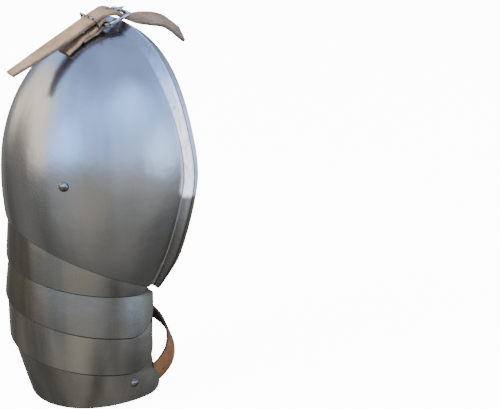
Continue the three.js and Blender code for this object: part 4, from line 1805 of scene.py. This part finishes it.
@dataclass
class Fittings:
    """The straps, the buckle with its chape and keeper, and the rivets."""

    plates: Plates
    keeper_place: float = 0.735
    keeper_wire: float = 2.0
    keeper_inside: Pair = (5.0, 22.5)
    keeper_drop: float = 0.5
    keeper_bend: float = 1.5
    keeper_round: float = 0.98
    buckle_width: float = 29.0
    chape_rivet_x: float = -38.0
    chape_top: float = 4.5
    arm_tuck: float = 22.0

    def build(self) -> None:
        """Builds them all."""
        plates = self.plates
        pale = [PALE, PALE_FLESH, PALE_EDGE]
        ShoulderStrap("strap_over_shoulder", "shoulder_strap", Slot.PALE, pale, plates).build()
        Chape("chape_fold", "buckle_chape", Slot.PALE, pale, plates).build()
        ArmStrap("strap_round_arm", "arm_strap", Slot.TAN, [TAN, FLESH, TAN_EDGE], plates).build()
        LameLeather("inner_leather", "lame_leather", Slot.TAN, [FLESH], plates).build()
        self.add_buckle()
        self.add_keeper()
        self.add_rivets()

    def add_buckle(self) -> None:
        """Builds the buckle's frame and its tongue."""
        plates = self.plates
        first, _, run = buckle_axes()
        across = np.array([0.0, 1.0, 0.0])
        middle = np.array([HEEL[0], STRAP_SIDE, HEEL[1]]) + first * run / 2
        frame_bars = WireFrame("buckle_bars", "buckle_frame", Slot.NICKEL, [NICKEL], plates)
        frame_bars.build(middle, first, across, run, self.buckle_width - BAR)
        Tongue("buckle_pin", "buckle_tongue", Slot.NICKEL, [NICKEL], plates).build()

    def add_keeper(self) -> None:
        """Builds the keeper square across the strap."""
        line = SmoothLine(np.array([(x, STRAP_SIDE, z) for x, z in STRAP_ROUTE]))
        place = np.array([self.keeper_place])
        along, front = line.along(place)[0], strap_front(place)[0]
        upward = unit(np.cross(along, front))
        across = unit(np.cross(along, upward))
        middle = line.at(place)[0] - upward * self.keeper_drop
        high, wide = (size + self.keeper_wire for size in self.keeper_inside)
        sizes = {"bar": self.keeper_wire, "bend": self.keeper_bend, "section_radius": self.keeper_round}
        keeper = WireFrame("keeper_wire", "strap_keeper", Slot.NICKEL, [NICKEL], self.plates, **sizes)
        keeper.build(middle, upward, across, high, wide)

    def add_rivets(self) -> None:
        """Builds the rivets of the dome, the chape and the arm strap."""
        plates, dome = self.plates, self.plates.dome
        turned = RIVET_AZIMUTH * plates.nest_sweep / -plates.front_azimuth
        height = RIVET_LEVEL - float(dome.edge_level(RIVET_AZIMUTH))
        grip = PLATE + NEST_GAP + LameLeather.thick
        self.rivet("dome_rivet_head", "dome_rivet", (0, turned, height), grip, BIG_RIVET)
        spot = np.array([self.chape_rivet_x, STRAP_SIDE, float(dome.crown_level(self.chape_rivet_x))])
        out = dome.turned(dome.normal(spot))
        chape = Rivet("chape_rivet_head", "chape_rivet", Slot.RIVET, [RIVET], plates)
        chape.build(dome.to_part(spot) + out * self.chape_top, out, self.chape_top + PLATE + SEAT_GAP)
        last = len(plates.lames)
        end = plates.lames[-1].sweep - self.arm_tuck
        grip = PLATE + NEST_GAP + SEAT_GAP + ArmStrap.thick
        for side, azimuth, level in zip(("front", "back"), (-end, end), ArmStrap.levels):
            self.rivet(f"arm_rivet_{side}_head", f"arm_strap_rivet_{side}", (last, azimuth, level), grip)

    def rivet(
        self, name: str, node: str, where: tuple[int, float, float], grip: float, size: Optional[dict] = None
    ) -> None:
        """Builds a rivet on a plate.

        Args:
            name: the piece's name.
            node: the node that it stands for.
            where: the plate's number, degrees from the outer side and height above the plate's edge.
            grip: thickness of what it holds.
            size: sizes that differ from a small rivet's.
        """
        plate, azimuth, height = where
        piece = Rivet(name, node, Slot.RIVET, [RIVET], self.plates, **(size or {}))
        point, out = self.plates.seat(plate, np.array([azimuth]), np.array([height]))
        piece.build(point[0], out[0], grip)


# Stage


@dataclass(frozen=True)
class Glow:
    """A bright or dim place in the sky.

    The spread is an inner and an outer angle, the weight is its share of the colour there, and the
    horizon holds the heights between which it starts.
    """

    azimuth: float
    elevation: float
    spread: Pair
    colour: Triple
    weight: float
    horizon: Pair = (-1.2, -1.1)


@dataclass(frozen=True)
class Lamp:
    """A square soft lamp that faces the part: its place, side, watts and light."""

    name: str
    place: Triple
    size: float
    power: float
    colour: Triple


@dataclass(frozen=True)
class Studio:
    """Camera, floor, sky and lamps."""

    camera: Triple = (-0.47119, -0.85897, 0.05539)
    heading: float = 36.2
    pitch: float = 11.4
    lens: float = 86.4
    sensor: float = 36.0
    floor_size: float = 400.0
    lamps: tuple[Lamp, ...] = (
        Lamp("key_light", (0.9, -1.5, 1.6), 1.2, 14.0, (1.0, 0.97, 0.92)),
        Lamp("side_light", (-1.6, -0.2, 0.5), 1.0, 62.0, (1.0, 0.96, 0.90)),
    )
    front_way: Pair = (-0.5, 0.866)
    front_share: Pair = (-0.2, 0.95)
    zenith_room: float = 1.001
    front_sky: tuple = (
        (-0.95, (0.13, 0.128, 0.12)),
        (-0.75, (0.25, 0.245, 0.23)),
        (-0.32, (0.46, 0.46, 0.455)),
        (-0.15, (0.52, 0.54, 0.57)),
        (0.02, (0.85, 1.15, 1.75)),
        (0.5, (0.75, 1.2, 2.4)),
        (0.9, (0.45, 0.60, 1.1)),
    )
    side_sky: tuple = (
        (-0.9, (0.10, 0.10, 0.09)),
        (-0.4, (0.13, 0.13, 0.122)),
        (-0.12, (0.24, 0.236, 0.225)),
        (0.04, (0.9, 1.1, 1.5)),
        (0.5, (0.75, 1.1, 2.1)),
        (0.9, (0.45, 0.60, 1.1)),
    )
    glows: tuple[Glow, ...] = (
        Glow(-100.0, 8.0, (4.0, 22.0), (1.1, 2.0, 4.0), 0.8, (-0.08, 0.06)),
        Glow(162.0, 0.0, (5.0, 24.0), (1.6, 2.3, 3.6), 0.9, (-0.3, -0.05)),
        Glow(-168.0, 38.0, (5.0, 24.0), (1.15, 1.9, 3.3), 0.8),
        Glow(-145.0, 10.0, (0.0, 18.0), (0.55, 0.82, 1.5), 0.6),
        Glow(-121.0, -27.0, (4.0, 24.0), (0.45, 0.425, 0.355), 0.8),
        Glow(-42.0, 2.0, (31.0, 43.0), (1.7, 1.55, 1.32), 1.0, (-0.2, 0.02)),
        Glow(-36.0, -12.0, (12.0, 32.0), (0.20, 0.194, 0.18), 0.95),
        Glow(-163.0, -32.0, (3.0, 15.0), (0.20, 0.20, 0.20), 0.45),
        Glow(2.0, -15.0, (13.0, 29.0), (0.08, 0.08, 0.077), 0.95),
        Glow(30.0, 0.0, (27.0, 43.0), (0.26, 0.25, 0.235), 1.0),
        Glow(150.0, -50.0, (8.0, 26.0), (0.10, 0.10, 0.098), 0.85),
    )

    def build(self) -> None:
        """Sets up the whole stage."""
        self.add_camera()
        self.add_floor()
        self.add_sky()
        for lamp in self.lamps:
            self.add_lamp(lamp)

    def add_camera(self) -> None:
        """Adds the camera at the photograph's viewing angle."""
        data = bpy.data.cameras.new("camera")
        data.lens, data.sensor_width, data.sensor_fit = self.lens, self.sensor, "HORIZONTAL"
        camera = add_object("camera", data)
        a, e = math.radians(self.heading), math.radians(self.pitch)
        forward = Vector((math.sin(a) * math.cos(e), math.cos(a) * math.cos(e), -math.sin(e)))
        camera.location = self.camera
        camera.rotation_euler = forward.to_track_quat("-Z", "Y").to_euler()
        bpy.context.scene.camera = camera

    def add_floor(self) -> None:
        """Adds the pale floor under the lowest point."""
        level = CAD_BOX[0].z - FLOOR_GAP
        half = self.floor_size / 2
        mesh = bpy.data.meshes.new("floor")
        corners = [(-half, -half, level), (half, -half, level), (half, half, level), (-half, half, level)]
        mesh.from_pydata(corners, [], [(0, 1, 2, 3)])
        mesh.materials.append(FloorPaint().material())
        floor = add_object("floor", mesh)
        floor.visible_glossy = False
        floor.visible_diffuse = False

    def add_sky(self) -> None:
        """Adds soft light from all round: cool above, pale at the horizon and dim below."""
        world = bpy.data.worlds.new("studio")
        world.use_nodes = True
        bpy.context.scene.world = world
        graph = Graph(world.node_tree)
        spot = graph.wire(graph.node("ShaderNodeTexCoord"), "Generated")
        parts = graph.node("ShaderNodeSeparateXYZ", None, {0: spot})
        x, y, z = (graph.wire(parts, i) for i in range(3))
        flat = (self.zenith_room - z * z) ** 0.5
        across, ahead = self.front_way
        front, side = (self.levels(graph, z, stops) for stops in (self.front_sky, self.side_sky))
        facing = (x * across - y * ahead) / flat
        colour = graph.mix(facing.ramp(*self.front_share), side, front)
        for glow in self.glows:
            a, e = math.radians(glow.azimuth), math.radians(glow.elevation)
            toward = (math.sin(a) * math.cos(e), math.cos(a) * math.cos(e), math.sin(e))
            near = graph.node("ShaderNodeVectorMath", {"operation": "DOT_PRODUCT"}, {0: spot, 1: toward})
            inner, outer = (math.cos(math.radians(angle)) for angle in glow.spread)
            share = graph.wire(near, "Value").ramp(outer, inner) * glow.weight
            colour = graph.mix(share * z.ramp(*glow.horizon), colour, glow.colour)
        light = graph.node("ShaderNodeBackground", None, {"Color": colour, "Strength": 1.0})
        plain = graph.node("ShaderNodeBackground", None, {"Color": (1.0, 1.0, 1.0), "Strength": WHITE_GLOW})
        seen = graph.wire(graph.node("ShaderNodeLightPath"), "Is Camera Ray")
        both = graph.node("ShaderNodeMixShader", None, {0: seen, 1: graph.wire(light), 2: graph.wire(plain)})
        graph.node("ShaderNodeOutputWorld", None, {"Surface": graph.wire(both)})

    def levels(self, graph: Graph, height: Wire, stops: Sequence[tuple]) -> Wire:
        """Runs through colours by height.

        Args:
            graph: the sky's nodes.
            height: the height of a direction.
            stops: heights with their colours, from the lowest.

        Returns:
            The colour at that height.
        """
        colour = stops[0][1]
        for (low, _), (high, following) in zip(stops, stops[1:]):
            colour = graph.mix(height.ramp(low, high), colour, following)
        return colour

    def add_lamp(self, lamp: Lamp) -> None:
        """Adds a lamp.

        Args:
            lamp: its place and light.
        """
        data = bpy.data.lights.new(lamp.name, "AREA")
        data.size, data.energy, data.color = lamp.size, lamp.power, lamp.colour
        made = add_object(lamp.name, data)
        made.location = lamp.place
        made.visible_glossy = False
        aim = (CAD_BOX[0] + CAD_BOX[1]) / 2 - Vector(lamp.place)
        made.rotation_euler = aim.to_track_quat("-Z", "Y").to_euler()


@dataclass(frozen=True)
class FloorPaint(Finish):
    """Pale matt paint of the floor."""

    name: str = "floor_paint"
    colour: Triple = (0.92, 0.92, 0.92)
    shade: Triple = (0.88, 0.88, 0.88)
    white: Triple = (1.0, 1.0, 1.0)
    roughness: float = 0.9
    scale: float = 3.0

    def paint(self, graph: Graph) -> None:
        """Builds the nodes.

        Args:
            graph: the material's nodes.
        """
        colour = graph.mix(graph.noise(self.scale, detail=3.0), self.colour, self.shade)
        glow = {"emission_color": self.white, "emission_strength": WHITE_GLOW}
        graph.surface(base_color=colour, roughness=self.roughness, **glow)


def main() -> None:
    """Builds the pieces and the stage."""
    logging.basicConfig(level=logging.INFO, format="%(message)s")
    plates = Plates()
    steel = [STEEL, SCALE_AND_SHADE, FLANGE_PAINTED_LIGHT, RIM_STEEL]
    DomePlate("dome_plate", "shoulder_dome", Slot.PLATE, steel, plates).build()
    for number in range(1, len(plates.lames) + 1):
        finishes = [lame_steel(number), SCALE_AND_SHADE]
        LamePlate(f"lame_plate_{number}", f"lame_{number}", Slot.PLATE, finishes, plates).build(number)
    Fittings(plates).build()
    Studio().build()


if __name__ == "__main__":
    main()
